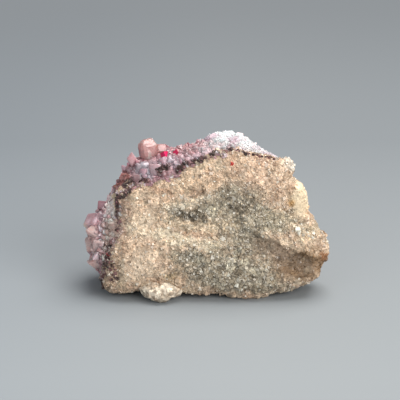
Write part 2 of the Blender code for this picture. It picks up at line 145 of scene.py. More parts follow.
def hash01(cells, seed):
    """Four even random numbers for each whole-numbered cell."""
    c = cells.astype(np.int64)
    out = []
    for k in range(4):
        h = (c[..., 0] * 73856093) ^ (c[..., 1] * 19349663) ^ (c[..., 2] * 83492791) ^ ((seed * 7 + k + 1) * 2654435761)
        h = (h ^ (h >> 13)) * 1274126177 & 0xFFFFFFFFFFFF
        h = (h ^ (h >> 16)) * 1103515245 & 0xFFFFFFFFFFFF
        h = h ^ (h >> 15)
        out.append((h & 0xFFFFFF) / float(0xFFFFFF))
    return np.stack(out, axis=-1)


def smooth_noise(points, scale, seed):
    """Gradient noise, about -1 to 1."""
    p = points / scale + seed * 17.31
    base = np.floor(p)
    f = p - base
    s = f * f * f * (f * (f * 6 - 15) + 10)
    total = 0.0
    for dx in (0, 1):
        for dy in (0, 1):
            for dz in (0, 1):
                corner = np.array([dx, dy, dz])
                g = hash01(base + corner, seed)[..., :3] * 2 - 1
                dot = (g * (f - corner)).sum(-1)
                weight = (
                    (s[..., 0] if dx else 1 - s[..., 0])
                    * (s[..., 1] if dy else 1 - s[..., 1])
                    * (s[..., 2] if dz else 1 - s[..., 2])
                )
                total = total + weight * dot
    return total * 1.6


def fractal(points, scale, seed, octaves=3, gain=0.5):
    total, size = 0.0, 1.0
    for k in range(octaves):
        total = total + size * smooth_noise(points, scale / 2**k, seed + k)
        size *= gain
    return total


def cells(points, scale, seed):
    """The nearest of scattered cell middles: the way to it and the cell's own random numbers."""
    p = points / scale
    base = np.floor(p)
    best = np.full(len(p), 1e9)
    away = np.zeros_like(p)
    own = np.zeros((len(p), 4))
    for dx in (-1, 0, 1):
        for dy in (-1, 0, 1):
            for dz in (-1, 0, 1):
                cell = base + np.array([dx, dy, dz])
                r = hash01(cell, seed)
                d = p - cell - r[:, :3]
                dist = (d * d).sum(1)
                closer = dist < best
                best = np.where(closer, dist, best)
                away[closer] = d[closer]
                own[closer] = r[closer]
    return np.sqrt(best), away * scale, own


def srgb(r, g, b):
    """A colour of 0 to 255 steps as linear light."""
    c = np.array([r, g, b], dtype=float) / 255.0
    return np.where(c <= 0.04045, c / 12.92, ((c + 0.055) / 1.055) ** 2.4)


def outline_radius(outline, centre):
    points = []
    for x, y in outline:
        dx, dy = (x - centre[0]) * GRID, (centre[1] - y) * GRID
        points.append((math.atan2(dy, dx) % math.tau, math.hypot(dx, dy)))
    points.sort()
    angles = np.array([p[0] for p in points])
    radii = np.array([p[1] for p in points])
    angles = np.concatenate([angles[-1:] - math.tau, angles, angles[:1] + math.tau])
    radii = np.concatenate([radii[-1:], radii, radii[:1]])
    return lambda theta: np.interp(np.mod(theta, math.tau), angles, radii)


def rough(points, scale, offset):
    return np.array([noise.noise(Vector(p) / scale + offset) for p in points])


# ---------------------------------------------------------------- the forms of the solids
def front_relief(gx, gy):
    out = -0.0009 * bump(gx, gy, 190, 211, 26, 14)
    out = out - 0.0009 * bump(gx, gy, 238, 199, 22, 14)
    out = out + 0.0005 * bump(gx, gy, 190, 243, 34, 6)
    out = out + 0.0017 * bump(gx, gy, 301, 196, 9, 17)
    out = out + 0.0006 * bump(gx, gy, 128, 240, 12, 25)
    crease = np.interp(gx, [232, 245, 256, 271, 290, 311, 326], [220, 226, 232, 239, 248, 256, 259])
    depth = 0.0021 * np.interp(gx, [234, 262, 300, 324], [0, 1, 1, 0.3])
    below = gy - crease
    scoop = depth * np.exp(-np.clip(below, 0, None) / 17.0) * (1 - np.exp(-np.clip(below, 0, None) / 3.2))
    return out - scoop + 0.22 * depth * np.exp(-np.abs(below - 1.0) / 9.0)


def underside(x, y):
    lift = GROUND_CLEARANCE * np.ones_like(x)
    for cx, cy, rx, ry in CONTACTS:
        lift = lift - (GROUND_CLEARANCE + 0.0009) * np.exp(-(((x - cx) / rx) ** 2 + ((y - cy) / ry) ** 2) ** 2)
    return lift


def keep_off_ground(uvw, height):
    world = to_world(uvw) + SHIFT
    lift = np.clip(height(world[:, 0], world[:, 1]) - world[:, 2], 0.0, None)
    uvw = uvw.copy()
    uvw[:, 1] += lift * COS
    uvw[:, 2] += lift * SIN
    return uvw


def chip(uvw, centre, planes, reach=None):
    for direction, share in planes:
        n = np.array(direction, dtype=float)
        n /= np.linalg.norm(n)
        height = (uvw - centre) @ n
        over = np.clip(height - share * height.max(), 0.0, None)
        uvw = uvw - 0.9 * over[:, None] * n
    return uvw


def matrix_shape(uvw, n, flat):
    gx = GRID_X0 + uvw[:, 0] / GRID
    gy = GRID_Y0 - uvw[:, 1] / GRID
    uvw = chip(uvw, MATRIX_MIDDLE if MATRIX_MIDDLE is not None else uvw.mean(axis=0), MATRIX_CHIPS)
    facing = ramp(n[:, 2], 0.15, 0.75)
    uvw[:, 2] += facing * front_relief(gx, gy)
    behind = ramp(-n[:, 2], -0.3, 0.4)
    bumps = 0.0011 * rough(uvw, 0.013, Vector((3.1, 7.7, 1.3))) + 0.0004 * rough(uvw, 0.0045, Vector((9.1, 2.2, 5.3)))
    push = n * np.array([1, 1, 0.6])
    push /= np.linalg.norm(push, axis=1)[:, None]
    uvw = uvw + push * (bumps * (0.35 + 0.65 * np.maximum(behind, facing * 0.6)))[:, None]
    return keep_off_ground(uvw, underside)


def crust_shape(uvw, n, flat):
    uvw = uvw.copy()
    uvw[:, 2] -= 0.0055 * ramp(0.78 - flat, 0.0, 0.5) * (n[:, 2] > 0)
    uvw = chip(uvw, CRUST_MIDDLE, [((-0.6, 0.2, -0.75), 0.86), ((0.5, 0.4, -0.75), 0.86), ((0.1, -0.6, -0.8), 0.86)])
    bumps = 0.0012 * rough(uvw, 0.0085, Vector((1.7, 4.4, 8.9))) + 0.0005 * rough(uvw, 0.0035, Vector((6.6, 0.3, 2.5)))
    uvw = uvw + n / np.linalg.norm(n, axis=1)[:, None] * (bumps * (0.4 + 0.6 * ramp(-n[:, 2], -0.4, 0.3)))[:, None]
    return keep_off_ground(uvw, lambda x, y: 0.0034 + 0.0008 * np.sin(x * 380.0) + 0.0 * y)


def cap_shape(uvw, n, flat):
    bumps = 0.0011 * rough(uvw, 0.0050, Vector((2.9, 3.8, 6.1))) + 0.0005 * rough(uvw, 0.0021, Vector((4.4, 1.2, 7.7)))
    taper = np.interp(GRID_X0 + uvw[:, 0] / GRID, [200, 245, 290], [1.0, 0.95, 0.45])
    uvw = uvw.copy()
    uvw[:, 2] = CAP_PLANE + (uvw[:, 2] - CAP_PLANE) * taper
    return uvw + n / np.linalg.norm(n, axis=1)[:, None] * (bumps * (0.35 + 0.65 * (1 - flat)))[:, None]


def nodule_shape(uvw, n, flat):
    bumps = 0.0004 * rough(uvw, 0.0040, Vector((7.3, 8.8, 0.4)))
    return uvw + n / np.linalg.norm(n, axis=1)[:, None] * bumps[:, None]


def sphere_grid(na, nb, nc):
    """A unit sphere made from a box with na, nb and nc cells: points, quads and each quad corner's place on the sheet."""
    sheets = [
        (2, 1.0, 0, 1, na, nb, (0.0, 0.0, 0.5, 1.0)),  # front, with half of the map
        (2, -1.0, 0, 1, na, nb, (0.5, 0.0, 0.75, 0.5)),
        (0, 1.0, 2, 1, nc, nb, (0.75, 0.0, 1.0, 0.5)),
        (0, -1.0, 2, 1, nc, nb, (0.5, 0.5, 0.75, 1.0)),
        (1, 1.0, 0, 2, na, nc, (0.75, 0.5, 1.0, 0.75)),
        (1, -1.0, 0, 2, na, nc, (0.75, 0.75, 1.0, 1.0)),
    ]
    points, quads, places = [], [], []
    start = 0
    for axis, side, first, second, n1, n2, (x0, y0, x1, y1) in sheets:
        a, b = np.meshgrid(np.linspace(-1, 1, n1 + 1), np.linspace(-1, 1, n2 + 1), indexing="ij")
        p = np.zeros((*a.shape, 3))
        p[..., first], p[..., second], p[..., axis] = a, b, side
        points.append(p.reshape(-1, 3))
        index = np.arange(a.size).reshape(a.shape) + start
        q = np.stack([index[:-1, :-1], index[1:, :-1], index[1:, 1:], index[:-1, 1:]], axis=-1).reshape(-1, 4)
        m = 0.004
        place = np.stack([x0 + m + (a + 1) / 2 * (x1 - x0 - 2 * m), y0 + m + (b + 1) / 2 * (y1 - y0 - 2 * m)], axis=-1).reshape(-1, 2)
        turned = np.linalg.det([np.eye(3)[first], np.eye(3)[second], side * np.eye(3)[axis]]) < 0
        if turned:
            q = q[:, ::-1]
        quads.append(q)
        places.append(place)
        start += a.size
    points = np.concatenate(points)
    places = np.concatenate(places)
    quads = np.concatenate(quads)
    corner_places = places[quads]
    keys = np.round(points * 1e6).astype(np.int64)
    _, first_at, joined = np.unique(keys, axis=0, return_index=True, return_inverse=True)
    points = points[first_at]
    quads = joined.reshape(-1)[quads]
    return unit(np.tan(points * math.pi / 4)), quads, corner_places


def pillow(counts, outline, centre, plane, front, back, power, shape):
    """The pillow form of a solid with its own number of cells: world points, outward directions, quads, places."""
    n, quads, places = sphere_grid(*counts)
    flat = np.hypot(n[:, 0], n[:, 1])
    n = n / ((flat**power + np.abs(n[:, 2]) ** power) ** (1.0 / power))[:, None]
    flat = np.hypot(n[:, 0], n[:, 1])
    theta = np.arctan2(n[:, 1], n[:, 0])
    radius = outline_radius(outline, centre)(theta)
    u0, v0 = on_grid(*centre)
    u = u0 + flat * radius * np.cos(theta)
    v = v0 + flat * radius * np.sin(theta)
    wedge = BACK_AT_FOOT + (BACK_AT_TOP - BACK_AT_FOOT) * np.clip(v / HEIGHT_V, 0.0, 1.0)
    w = plane + np.where(n[:, 2] > 0, front, back * wedge) * n[:, 2]
    uvw = shape(np.stack([u, v, w], axis=1), n, flat)
    return to_world(uvw), n, quads, places


def middle_of(outline, centre, plane, front, back, power, count):
    """The mean of the coarse solid's points before it is shaped, which the broken facets are set out from."""
    n, _, _ = sphere_grid(count, count, count)
    flat = np.hypot(n[:, 0], n[:, 1])
    n = n / ((flat**power + np.abs(n[:, 2]) ** power) ** (1.0 / power))[:, None]
    flat = np.hypot(n[:, 0], n[:, 1])
    theta = np.arctan2(n[:, 1], n[:, 0])
    radius = outline_radius(outline, centre)(theta)
    u0, v0 = on_grid(*centre)
    v = v0 + flat * radius * np.sin(theta)
    wedge = BACK_AT_FOOT + (BACK_AT_TOP - BACK_AT_FOOT) * np.clip(v / HEIGHT_V, 0.0, 1.0)
    w = plane + np.where(n[:, 2] > 0, front, back * wedge) * n[:, 2]
    uvw = np.stack([u0 + flat * radius * np.cos(theta), v, w], axis=1)
    return uvw, n, flat


raw, _, _ = middle_of(MATRIX_OUTLINE, CENTRE, 0.0, MATRIX_FRONT, MATRIX_BACK, 4.0, 16)
MATRIX_MIDDLE = raw.mean(axis=0)
raw, raw_n, raw_flat = middle_of(CRUST_OUTLINE, CENTRE, CRUST_PLANE, CRUST_FRONT, CRUST_BACK, 3.4, 12)
raw[:, 2] -= 0.0055 * ramp(0.78 - raw_flat, 0.0, 0.5) * (raw_n[:, 2] > 0)
CRUST_MIDDLE = raw.mean(axis=0)

# The solids were moved as one so that their box stands over the origin. The block's own box gives that move.
coarse, _, _, _ = pillow((16, 16, 16), MATRIX_OUTLINE, CENTRE, 0.0, MATRIX_FRONT, MATRIX_BACK, 4.0, matrix_shape)
lo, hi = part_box("matrix")
SHIFT = np.array([coarse[:, 0].min() - lo[0], coarse[:, 1].min() - lo[1], 0.0])


# ---------------------------------------------------------------- meshes
def new_object(name, points, faces, places=None, colours=None, grit=None):
    """A mesh from arrays, with its map and its colours."""
    mesh = bpy.data.meshes.new(name)
    k = faces.shape[1]
    mesh.vertices.add(len(points))
    mesh.vertices.foreach_set("co", np.ascontiguousarray(points, dtype=np.float32).ravel())
    mesh.loops.add(faces.size)
    mesh.loops.foreach_set("vertex_index", faces.astype(np.int32).ravel())
    mesh.polygons.add(len(faces))
    mesh.polygons.foreach_set("loop_start", np.arange(0, faces.size, k, dtype=np.int32))
    mesh.update(calc_edges=True)
    mesh.validate()
    if places is not None:
        layer = mesh.uv_layers.new(name="OFBake")
        layer.uv.foreach_set("vector", places.reshape(-1).astype(np.float32))
    if colours is not None:
        layer = mesh.color_attributes.new("tone", "FLOAT_COLOR", "POINT")
        data = np.ones((len(points), 4), dtype=np.float32)
        data[:, :3] = colours
        layer.data.foreach_set("color", data.ravel())
    if grit is not None:
        layer = mesh.attributes.new("grit", "FLOAT", "POINT")
        layer.data.foreach_set("value", grit.astype(np.float32))
    mesh.shade_flat()
    obj = bpy.data.objects.new(name, mesh)
    bpy.context.scene.collection.objects.link(obj)
    return obj


def split_quads(quads, places, seed):
    """Quads to triangles, with the diagonal taken at random."""
    rng = np.random.default_rng(seed)
    turn = rng.random(len(quads)) < 0.5
    q = np.where(turn[:, None], np.roll(quads, 1, axis=1), quads)
    p = np.where(turn[:, None, None], np.roll(places, 1, axis=1), places)
    tris = np.concatenate([q[:, [0, 1, 2]], q[:, [0, 2, 3]]])
    spots = np.concatenate([p[:, [0, 1, 2]], p[:, [0, 2, 3]]])
    return tris, spots


def vertex_normals(points, faces):
    a, b, c = points[faces[:, 0]], points[faces[:, 1]], points[faces[:, 2]]
    n = np.cross(b - a, c - a)
    out = np.zeros_like(points)
    for k in range(3):
        np.add.at(out, faces[:, k], n)
    return unit(out)


def arrays_of(obj):
    mesh = obj.data
    points = np.zeros(len(mesh.vertices) * 3, dtype=np.float64)
    mesh.vertices.foreach_get("co", points)
    mesh.calc_loop_triangles()
    tris = np.zeros(len(mesh.loop_triangles) * 3, dtype=np.int32)
    mesh.loop_triangles.foreach_get("vertices", tris)
    return points.reshape(-1, 3), tris.reshape(-1, 3)


# ---------------------------------------------------------------- colours of the block
TAN, TAN_DEEP = srgb(214, 188, 161), srgb(196, 164, 138)
CREAM, PINKISH = srgb(240, 222, 190), srgb(206, 172, 148)
OLIVE = srgb(176, 161, 136)
GREEN_GREY, GREY_LIGHT, GREY_DARK = srgb(154, 142, 122), srgb(180, 170, 151), srgb(110, 99, 84)
BROWN, RUST, SHADE = srgb(128, 99, 70), srgb(162, 112, 74), srgb(112, 94, 76)
OXIDE = srgb(58, 42, 38)


# dark oxide in the seam: both ends, its spread and how many grains it has
OXIDE_STREAKS = [
    (124, 187, 131, 181, 2.4, 90), (124, 197, 130, 190, 1.8, 50), (119, 196, 119, 206, 1.9, 110), (119, 206, 118, 218, 1.5, 40),
    (119, 222, 114, 242, 2.6, 10), (158, 172, 168, 167, 2.7, 60), (178, 172, 187, 163, 2.0, 70), (194, 163, 206, 158, 1.8, 60),
    (211, 156, 216, 152, 1.4, 40), (222, 152.5, 232, 150, 0.9, 26), (234, 151, 249, 154.5, 0.9, 34), (252, 155, 276, 159.5, 0.8, 26),
    (113, 240, 109, 254, 2.4, 20), (109, 256, 104, 276, 2.8, 54), (101, 276, 103, 288, 1.8, 50), (112, 262, 116, 280, 3.0, 30),
    (135, 183, 150, 180, 1.6, 26),
]
STRONG_STREAKS = (0, 1, 2, 5, 6, 7, 8, 14)


def seam_distance(gx, gy):
    """Distance on the grid from the seam, above zero on the block's side."""
    seam = np.array(SEAM, dtype=float)
    best = np.full(np.shape(gx), 1e9)
    side = np.ones(np.shape(gx))
    for (ax, ay), (bx, by) in zip(seam[:-1], seam[1:]):
        dx, dy = bx - ax, by - ay
        t = np.clip(((gx - ax) * dx + (gy - ay) * dy) / (dx * dx + dy * dy), 0, 1)
        ex, ey = gx - ax - t * dx, gy - ay - t * dy
        d = np.hypot(ex, ey)
        closer = d < best
        best = np.where(closer, d, best)
        side = np.where(closer, np.sign(dx * (gy - ay) - dy * (gx - ax)), side)
    return best * side


def matrix_colour(world):
    """Tone of the block, with painted shade along its foot and in the scoop under the crease and painted light on the
    facet above it, and how strongly its grains differ, at world points.
    """
    gx, gy, w = grid_of(world)
    _, _, grain = cells(world, 0.00062, 12)
    dither = grain[:, 0] - 0.5
    warp = 7.0 * smooth_noise(world, 0.006, 3), 5.5 * smooth_noise(world, 0.0055, 5)
    fine = 3.0 * smooth_noise(world, 0.0017, 8), 3.0 * smooth_noise(world, 0.0017, 9)
    x, y = gx + warp[0] + fine[0], gy + warp[1] + fine[1]
    front = ramp(w, -0.004, 0.001)
    mottled = 0.5 + 0.5 * fractal(world, 0.0035, 11)
    near = ramp(w + 0.0030 * smooth_noise(world, 0.003, 25), -0.0060, -0.0025)
    tone = TAN + (TAN_DEEP - TAN) * ramp(mottled + 0.5 * dither, 0.15, 0.95)[:, None]
    grit = 0.42 + 0.35 * (1 - near)

    def paint(mask, colour, gritty=None, loose=0.5):
        nonlocal tone, grit
        m = np.clip(mask, 0, 1)
        m = np.clip(m + loose * dither * 4 * m * (1 - m), 0, 1)
        tone = tone + (colour - tone) * m[:, None]
        if gritty is not None:
            grit = grit + (gritty - grit) * m

    # olive and grey areas, each soft at its edge
    grey = (
        0.85 * bump(x, y, 180, 213, 26, 9) + 0.6 * bump(x, y, 214, 208, 20, 16) + 0.90 * bump(x, y, 238, 200, 24, 19)
        + 0.95 * bump(x, y, 212, 270, 42, 19) + 0.6 * bump(x, y, 192, 256, 20, 8) + 0.85 * bump(x, y, 244, 236, 32, 18)
        + 0.65 * bump(x, y, 272, 218, 24, 15) + 0.9 * bump(x, y, 262, 278, 34, 18)
    )
    grey = ramp(grey, 0.08, 0.95) * front
    hidden = ramp(smooth_noise(world, 0.011, 21) + 0.45 * smooth_noise(world, 0.004, 22), -0.20, 0.55) * (1 - front)
    grey = np.maximum(grey, 0.85 * hidden)
    paint(0.5 * ramp(fractal(world, 0.0042, 15), -0.1, 0.7), OLIVE)
    deep = ramp(fractal(world, 0.0024, 14) + 0.9 * dither, -0.5, 0.75)[:, None]
    paint(0.90 * grey, GREEN_GREY + (GREY_LIGHT - GREEN_GREY) * deep, 1.0)
    paint(0.8 * grey * ramp(bump(x, y, 180, 215, 16, 8) + 1.2 * bump(x, y, 240, 203, 16, 16) + 0.6 * bump(x, y, 205, 275, 34, 12), 0.2, 1.0)
          * ramp(fractal(world, 0.0019, 16), -0.2, 0.4), GREY_DARK, 1.0)
    paint(0.75 * ramp(bump(x, y, 190, 183, 38, 10), 0.2, 0.9) * front, srgb(230, 202, 172), 0.5)
    paint(0.30 * ramp(bump(x, y, 205, 168, 80, 12), 0.2, 0.9) * front, srgb(226, 198, 170), 0.5)
    paint(0.45 * ramp(bump(x, y, 258, 176, 34, 20), 0.2, 0.9) * front, srgb(212, 184, 160), 0.6)
    streak = np.exp(-(((y - np.interp(gx, [160, 190, 218], [208, 204, 197])) / 3.2) ** 2)) * ramp(x, 160, 174) * ramp(222 - x, 0, 12)
    paint(0.85 * streak * front, srgb(222, 208, 186), 0.8)
    paint(0.90 * ramp(bump(x, y, 184, 215, 17, 6) + bump(x, y, 199, 222, 13, 5), 0.25, 0.9) * ramp(fractal(world, 0.0016, 24), -0.5, 0.2) * front, srgb(104, 93, 77), 1.0)
    band = np.interp(gx, [120, 150, 185, 230], [224, 232, 240, 245])
    band = np.exp(-(((y - band) / np.interp(gx, [130, 200], [9.0, 6.0])) ** 2)) * ramp(x, 116, 134) * ramp(236 - x, 0, 26)
    paint(0.74 * ramp(band, 0.15, 0.9) * front, srgb(232, 217, 191), 0.5)
    paint(0.55 * ramp(bump(x, y, 205, 226, 46, 6), 0.2, 0.9) * front, srgb(214, 196, 168), 0.7)
    paint(0.6 * ramp(bump(x, y, 141, 222, 15, 42), 0.2, 0.9) * front, srgb(217, 193, 167), 0.32)
    paint(0.60 * ramp(bump(x, y, 143, 264, 26, 18), 0.2, 0.9) * front, srgb(220, 200, 176), 0.36)
    paint(0.55 * ramp(bump(x, y, 170, 276, 11, 8), 0.2, 0.9) * front, srgb(156, 138, 108), 0.7)
    paint(0.9 * ramp(bump(x, y, 300, 197, 13.5, 22), 0.2, 0.75) * near, srgb(231, 208, 174), 0.10, 0.25)
    paint(0.8 * ramp(bump(gx, gy, 290, 203, 5, 6), 0.4, 0.9) * front, srgb(200, 156, 98), 0.4)
    # lighter facet above the crease: partly its own pale grey, partly painted light where it faces up towards the lamps
    paint(0.60 * ramp(bump(x, y, 281, 221, 24, 15), 0.2, 0.9) * front, srgb(197, 185, 160), 0.95)
    paint(0.45 * ramp(bump(x, y, 240, 244, 26, 18), 0.2, 0.9) * front * ramp(fractal(world, 0.0021, 30), -0.6, 0.2), srgb(158, 149, 129), 1.0)
    paint(0.75 * ramp(bump(x, y, 290, 164, 8, 8), 0.2, 0.8) * front, srgb(230, 220, 206), 0.6)
    paint(0.5 * ramp(bump(x, y, 124, 216, 8, 30), 0.2, 0.9) * front, srgb(176, 146, 130), 0.6)
    strata = 0.5 + 0.5 * np.sin((gy - 0.55 * gx + 3 * fine[0]) * 0.75)
    brown = ramp(bump(x, y, 303, 266, 24, 15), 0.15, 0.6) * (0.25 + 0.75 * near)
    paint(0.96 * brown, BROWN, 0.26, 0.3)
    paint(0.45 * brown * strata, srgb(156, 124, 90))
    paint(0.7 * ramp(bump(x, y, 314, 250, 12, 7), 0.2, 0.9) * front, srgb(172, 148, 122), 0.35)
    paint(0.6 * ramp(bump(x, y, 311, 232, 13, 12), 0.2, 0.9) * front, srgb(190, 177, 151), 0.9)
    stain = ramp(fractal(world, 0.0065, 27), 0.05, 0.7) * (1 - near)
    paint(0.55 * stain, srgb(166, 128, 94), 0.6)
    paint(0.45 * ramp(fractal(world, 0.0050, 28), 0.15, 0.7) * (1 - near), CREAM, 0.6)
    paint(0.8 * ramp(bump(x, y, 322, 257, 7, 8), 0.25, 0.9) * (0.2 + 0.8 * near), RUST, 0.4)
    crease = np.interp(gx, [232, 245, 256, 271, 290, 311, 326], [220, 226, 232, 239, 248, 256, 259])
    below = gy + 0.6 * fine[1] - crease
    paint(0.68 * ramp(below, -2, 8) * ramp(30 - below, 0, 20) * ramp(gx, 240, 262) * ramp(322 - gx, 0, 18) * front, SHADE, 0.26, 0.3)
    tip = np.linalg.norm(world - to_world(np.array([*on_grid(327.5, 246), 0.0012])), axis=-1) + 0.0009 * smooth_noise(world, 0.0013, 26)
    paint(0.72 * ramp(0.0026 - tip, 0.0, 0.0013), srgb(240, 233, 218), 0.5)
    paint(0.75 * ramp(bump(gx, gy, 200, 177, 2.5, 2.5), 0.3, 0.8) * front, srgb(92, 76, 62), 0.5, 0.2)
    seam = seam_distance(gx + 0.7 * fine[0], gy + 0.7 * fine[1])
    paint(0.55 * ramp(6 - np.abs(seam - 1.5), 0, 6) * front * ramp(fractal(world, 0.0016, 17), -0.4, 0.3), srgb(124, 94, 78), 0.8)
    paint(0.5 * ramp(bump(x, y, 109, 272, 9, 18), 0.2, 0.9), srgb(128, 100, 86), 0.9)
    paint(0.5 * ramp(bump(x, y, 125, 205, 8, 17), 0.2, 0.9) * front * ramp(fractal(world, 0.0013, 29), -0.5, 0.3), srgb(166, 128, 112), 0.7)
    # painted shade: the block darker along its foot, close to the ground
    under = ramp(286 + 4 * mottled - gy, 0, 8)
    tone = tone * (0.86 + 0.14 * under)[:, None]
    _, _, clump = cells(world + 0.0002 * np.stack(fine + warp[:1], axis=1), 0.0021, 18)
    tone = tone * (1.0 + (0.10 + 0.12 * grit) * (clump[:, 1] - 0.5) + 0.07 * fractal(world, 0.0048, 19))[:, None]
    pale = ramp(clump[:, 2], 0.86, 0.90) * grit * (0.25 + 0.25 * clump[:, 0])
    tone = tone + (srgb(222, 212, 188) - tone) * pale[:, None]
    tone = tone * (1.0 + (0.12 + 0.30 * grit) * (grain[:, 1] - 0.5))[:, None]
    return np.clip(tone, 0.01, 1), grit


def oxide_share(gx, gy):
    """How much oxide stains a place on the grid."""
    share = np.zeros(np.shape(gx))
    for number in STRONG_STREAKS:
        x0, y0, x1, y1, spread, _ = OXIDE_STREAKS[number]
        dx, dy = x1 - x0, y1 - y0
        t = np.clip(((gx - x0) * dx + (gy - y0) * dy) / (dx * dx + dy * dy), 0, 1)
        d = np.hypot(gx - x0 - t * dx, gy - y0 - t * dy)
        share = np.maximum(share, ramp(2.4 * spread - d, 0, 2.0 * spread))
    return share


def crust_colour(world):
    """Tone of the druse at world points."""
    gx, gy, w = grid_of(world)
    fine = 2.5 * smooth_noise(world, 0.0016, 31), 2.5 * smooth_noise(world, 0.0016, 32)
    x, y = gx + fine[0], gy + fine[1]
    front = ramp(w, -0.0060, -0.0005)
    pink, deep = srgb(224, 174, 178), srgb(196, 122, 138)
    pale, white = srgb(236, 208, 216), srgb(243, 236, 234)
    mix = ramp(fractal(world, 0.0045, 33), -0.55, 0.6)
    tone = pink + (deep - pink) * mix[:, None]
    patches = ramp(smooth_noise(world, 0.0065, 35) + 0.4 * smooth_noise(world, 0.002, 36), 0.1, 0.6)
    tone = tone + (pale - tone) * (0.75 * patches)[:, None]

    def paint(mask, colour):
        nonlocal tone
        tone = tone + (colour - tone) * np.clip(mask, 0, 1)[:, None]

    speck = ramp(fractal(world, 0.0012, 38), -0.1, 0.45)
    paint(0.75 * front, srgb(190, 152, 155))
    # left edge, downwards: mauve outside, then grey, white and brown towards the rock
    paint(0.8 * front * ramp(bump(x, y, 90, 246, 10, 32), 0.2, 0.8), srgb(240, 195, 186))
    inner = ramp(bump(x, y, 111, 246, 9, 36), 0.15, 0.6) * front
    paint(0.92 * inner * speck, srgb(225, 212, 200))
    paint(0.88 * inner * (1 - speck), srgb(158, 134, 120))
    paint(0.75 * front * ramp(bump(x, y, 109, 268, 9, 18), 0.2, 0.8) * (1 - speck), srgb(112, 88, 78))
    paint(0.85 * front * ramp(bump(x, y, 112, 206, 6, 13), 0.2, 0.7), srgb(240, 224, 217))
    paint(0.85 * front * ramp(x, 113, 117) * ramp(y, 196, 206) * ramp(132 - x, 0, 8), srgb(188, 160, 144))
    paint(0.90 * front * ramp(bump(x, y, 121, 179, 11, 10), 0.2, 0.7), srgb(186, 119, 110))
    paint(0.85 * front * ramp(bump(x, y, 114, 185, 5, 5), 0.2, 0.8), srgb(118, 72, 64))
    paint(0.85 * front * ramp(bump(x, y, 147, 172, 13, 8), 0.2, 0.8), srgb(220, 204, 212))
    paint(0.75 * front * ramp(bump(x, y, 171, 163, 16, 7), 0.25, 0.8), srgb(206, 180, 190))
    paint(0.75 * front * ramp(bump(x, y, 190, 147, 24, 7), 0.25, 0.8), srgb(202, 154, 154))
    paint(0.6 * front * ramp(bump(x, y, 193, 157, 12, 4), 0.25, 0.8), srgb(218, 196, 202))
    paint(0.5 * front * ramp(bump(x, y, 204, 151, 9, 5), 0.25, 0.8), srgb(226, 210, 214))
    paint(0.6 * ramp(bump(gx, gy, 232, 142, 34, 16), 0.3, 0.8), white)
    paint(0.80 * front * oxide_share(x, y), srgb(96, 66, 62))
    paint(0.8 * ramp(bump(x, y, 102, 280, 7, 9), 0.3, 0.9), srgb(112, 74, 68))
    return np.clip(tone, 0.01, 1)


def crystal_tones(where, rng, variety=1.0):
    """A tone for each crystal of the druse: most as the ground, some white, some deep rose, a few brown."""
    gx, gy, w = grid_of(where)
    front = ramp(w, -0.0060, -0.0005)
    count = len(where)
    spread = 0.24 - 0.12 * front
    tones = crust_colour(where) * (1.0 + spread * (rng.random(count) - 0.5))[:, None]
    crest = ramp(bump(gx, gy, 184, 149, 30, 9), 0.15, 0.6)
    variety = variety * (1.0 - 0.45 * front) * (1.0 - 0.6 * crest)
    kind = rng.random(count)

    def turn(mask, colour, much):
        share = np.where(mask, much * (0.5 + 0.5 * rng.random(count)), 0.0)[:, None]
        return tones + (colour - tones) * share

    tones = turn(kind < variety * (0.09 - 0.01 * front), srgb(246, 238, 238), 0.8)
    tones = turn((kind > 0.30) & (kind < 0.30 + 0.18 * variety), srgb(182, 108, 124), 0.6)
    tones = turn((kind > 0.60) & (kind < 0.60 + 0.12 * variety), srgb(238, 214, 222), 0.7)
    edge = front * ramp(bump(gx, gy, 122, 186, 22, 24) + bump(gx, gy, 108, 262, 12, 22), 0.2, 0.8)
    tones = turn(kind > 1 - 0.24 * edge, srgb(108, 78, 72), 0.8)
    return np.clip(tones, 0.01, 0.95)


# ---------------------------------------------------------------- materials
class Nodes:
    def __init__(self, name):
        self.mat = bpy.data.materials.new(name)
        self.mat.use_nodes = True
        self.tree = self.mat.node_tree
        self.shader = self.tree.nodes["Principled BSDF"]

    def add(self, kind, **values):
        node = self.tree.nodes.new("ShaderNode" + kind)
        for key, value in values.items():
            if key in node.inputs:
                node.inputs[key].default_value = value
            else:
                setattr(node, key, value)
        return node

    def link(self, a, b):
        self.tree.links.new(a, b)

    def ramp(self, factor, stops, interpolation="LINEAR"):
        node = self.add("ValToRGB")
        node.color_ramp.interpolation = interpolation
        while len(node.color_ramp.elements) < len(stops):
            node.color_ramp.elements.new(0.5)
        for element, (at, value) in zip(node.color_ramp.elements, stops):
            element.position = at
            element.color = (value, value, value, 1) if np.isscalar(value) else (*value, 1)
        self.link(factor, node.inputs["Fac"])
        return node.outputs["Color"]

    def maths(self, operation, a, b=None, c=None):
        node = self.add("Math", operation=operation)
        for socket, value in zip(node.inputs, (a, b, c)):
            if value is None:
                continue
            if isinstance(value, (int, float)):
                socket.default_value = value
            else:
                self.link(value, socket)
        return node.outputs[0]

    def mix(self, kind, factor, a, b):
        node = self.add("Mix", data_type="RGBA", blend_type=kind)
        for socket, value in ((node.inputs[0], factor), (node.inputs[6], a), (node.inputs[7], b)):
            if isinstance(value, (int, float)):
                socket.default_value = value
            elif isinstance(value, tuple):
                socket.default_value = value
            else:
                self.link(value, socket)
        return node.outputs[2]


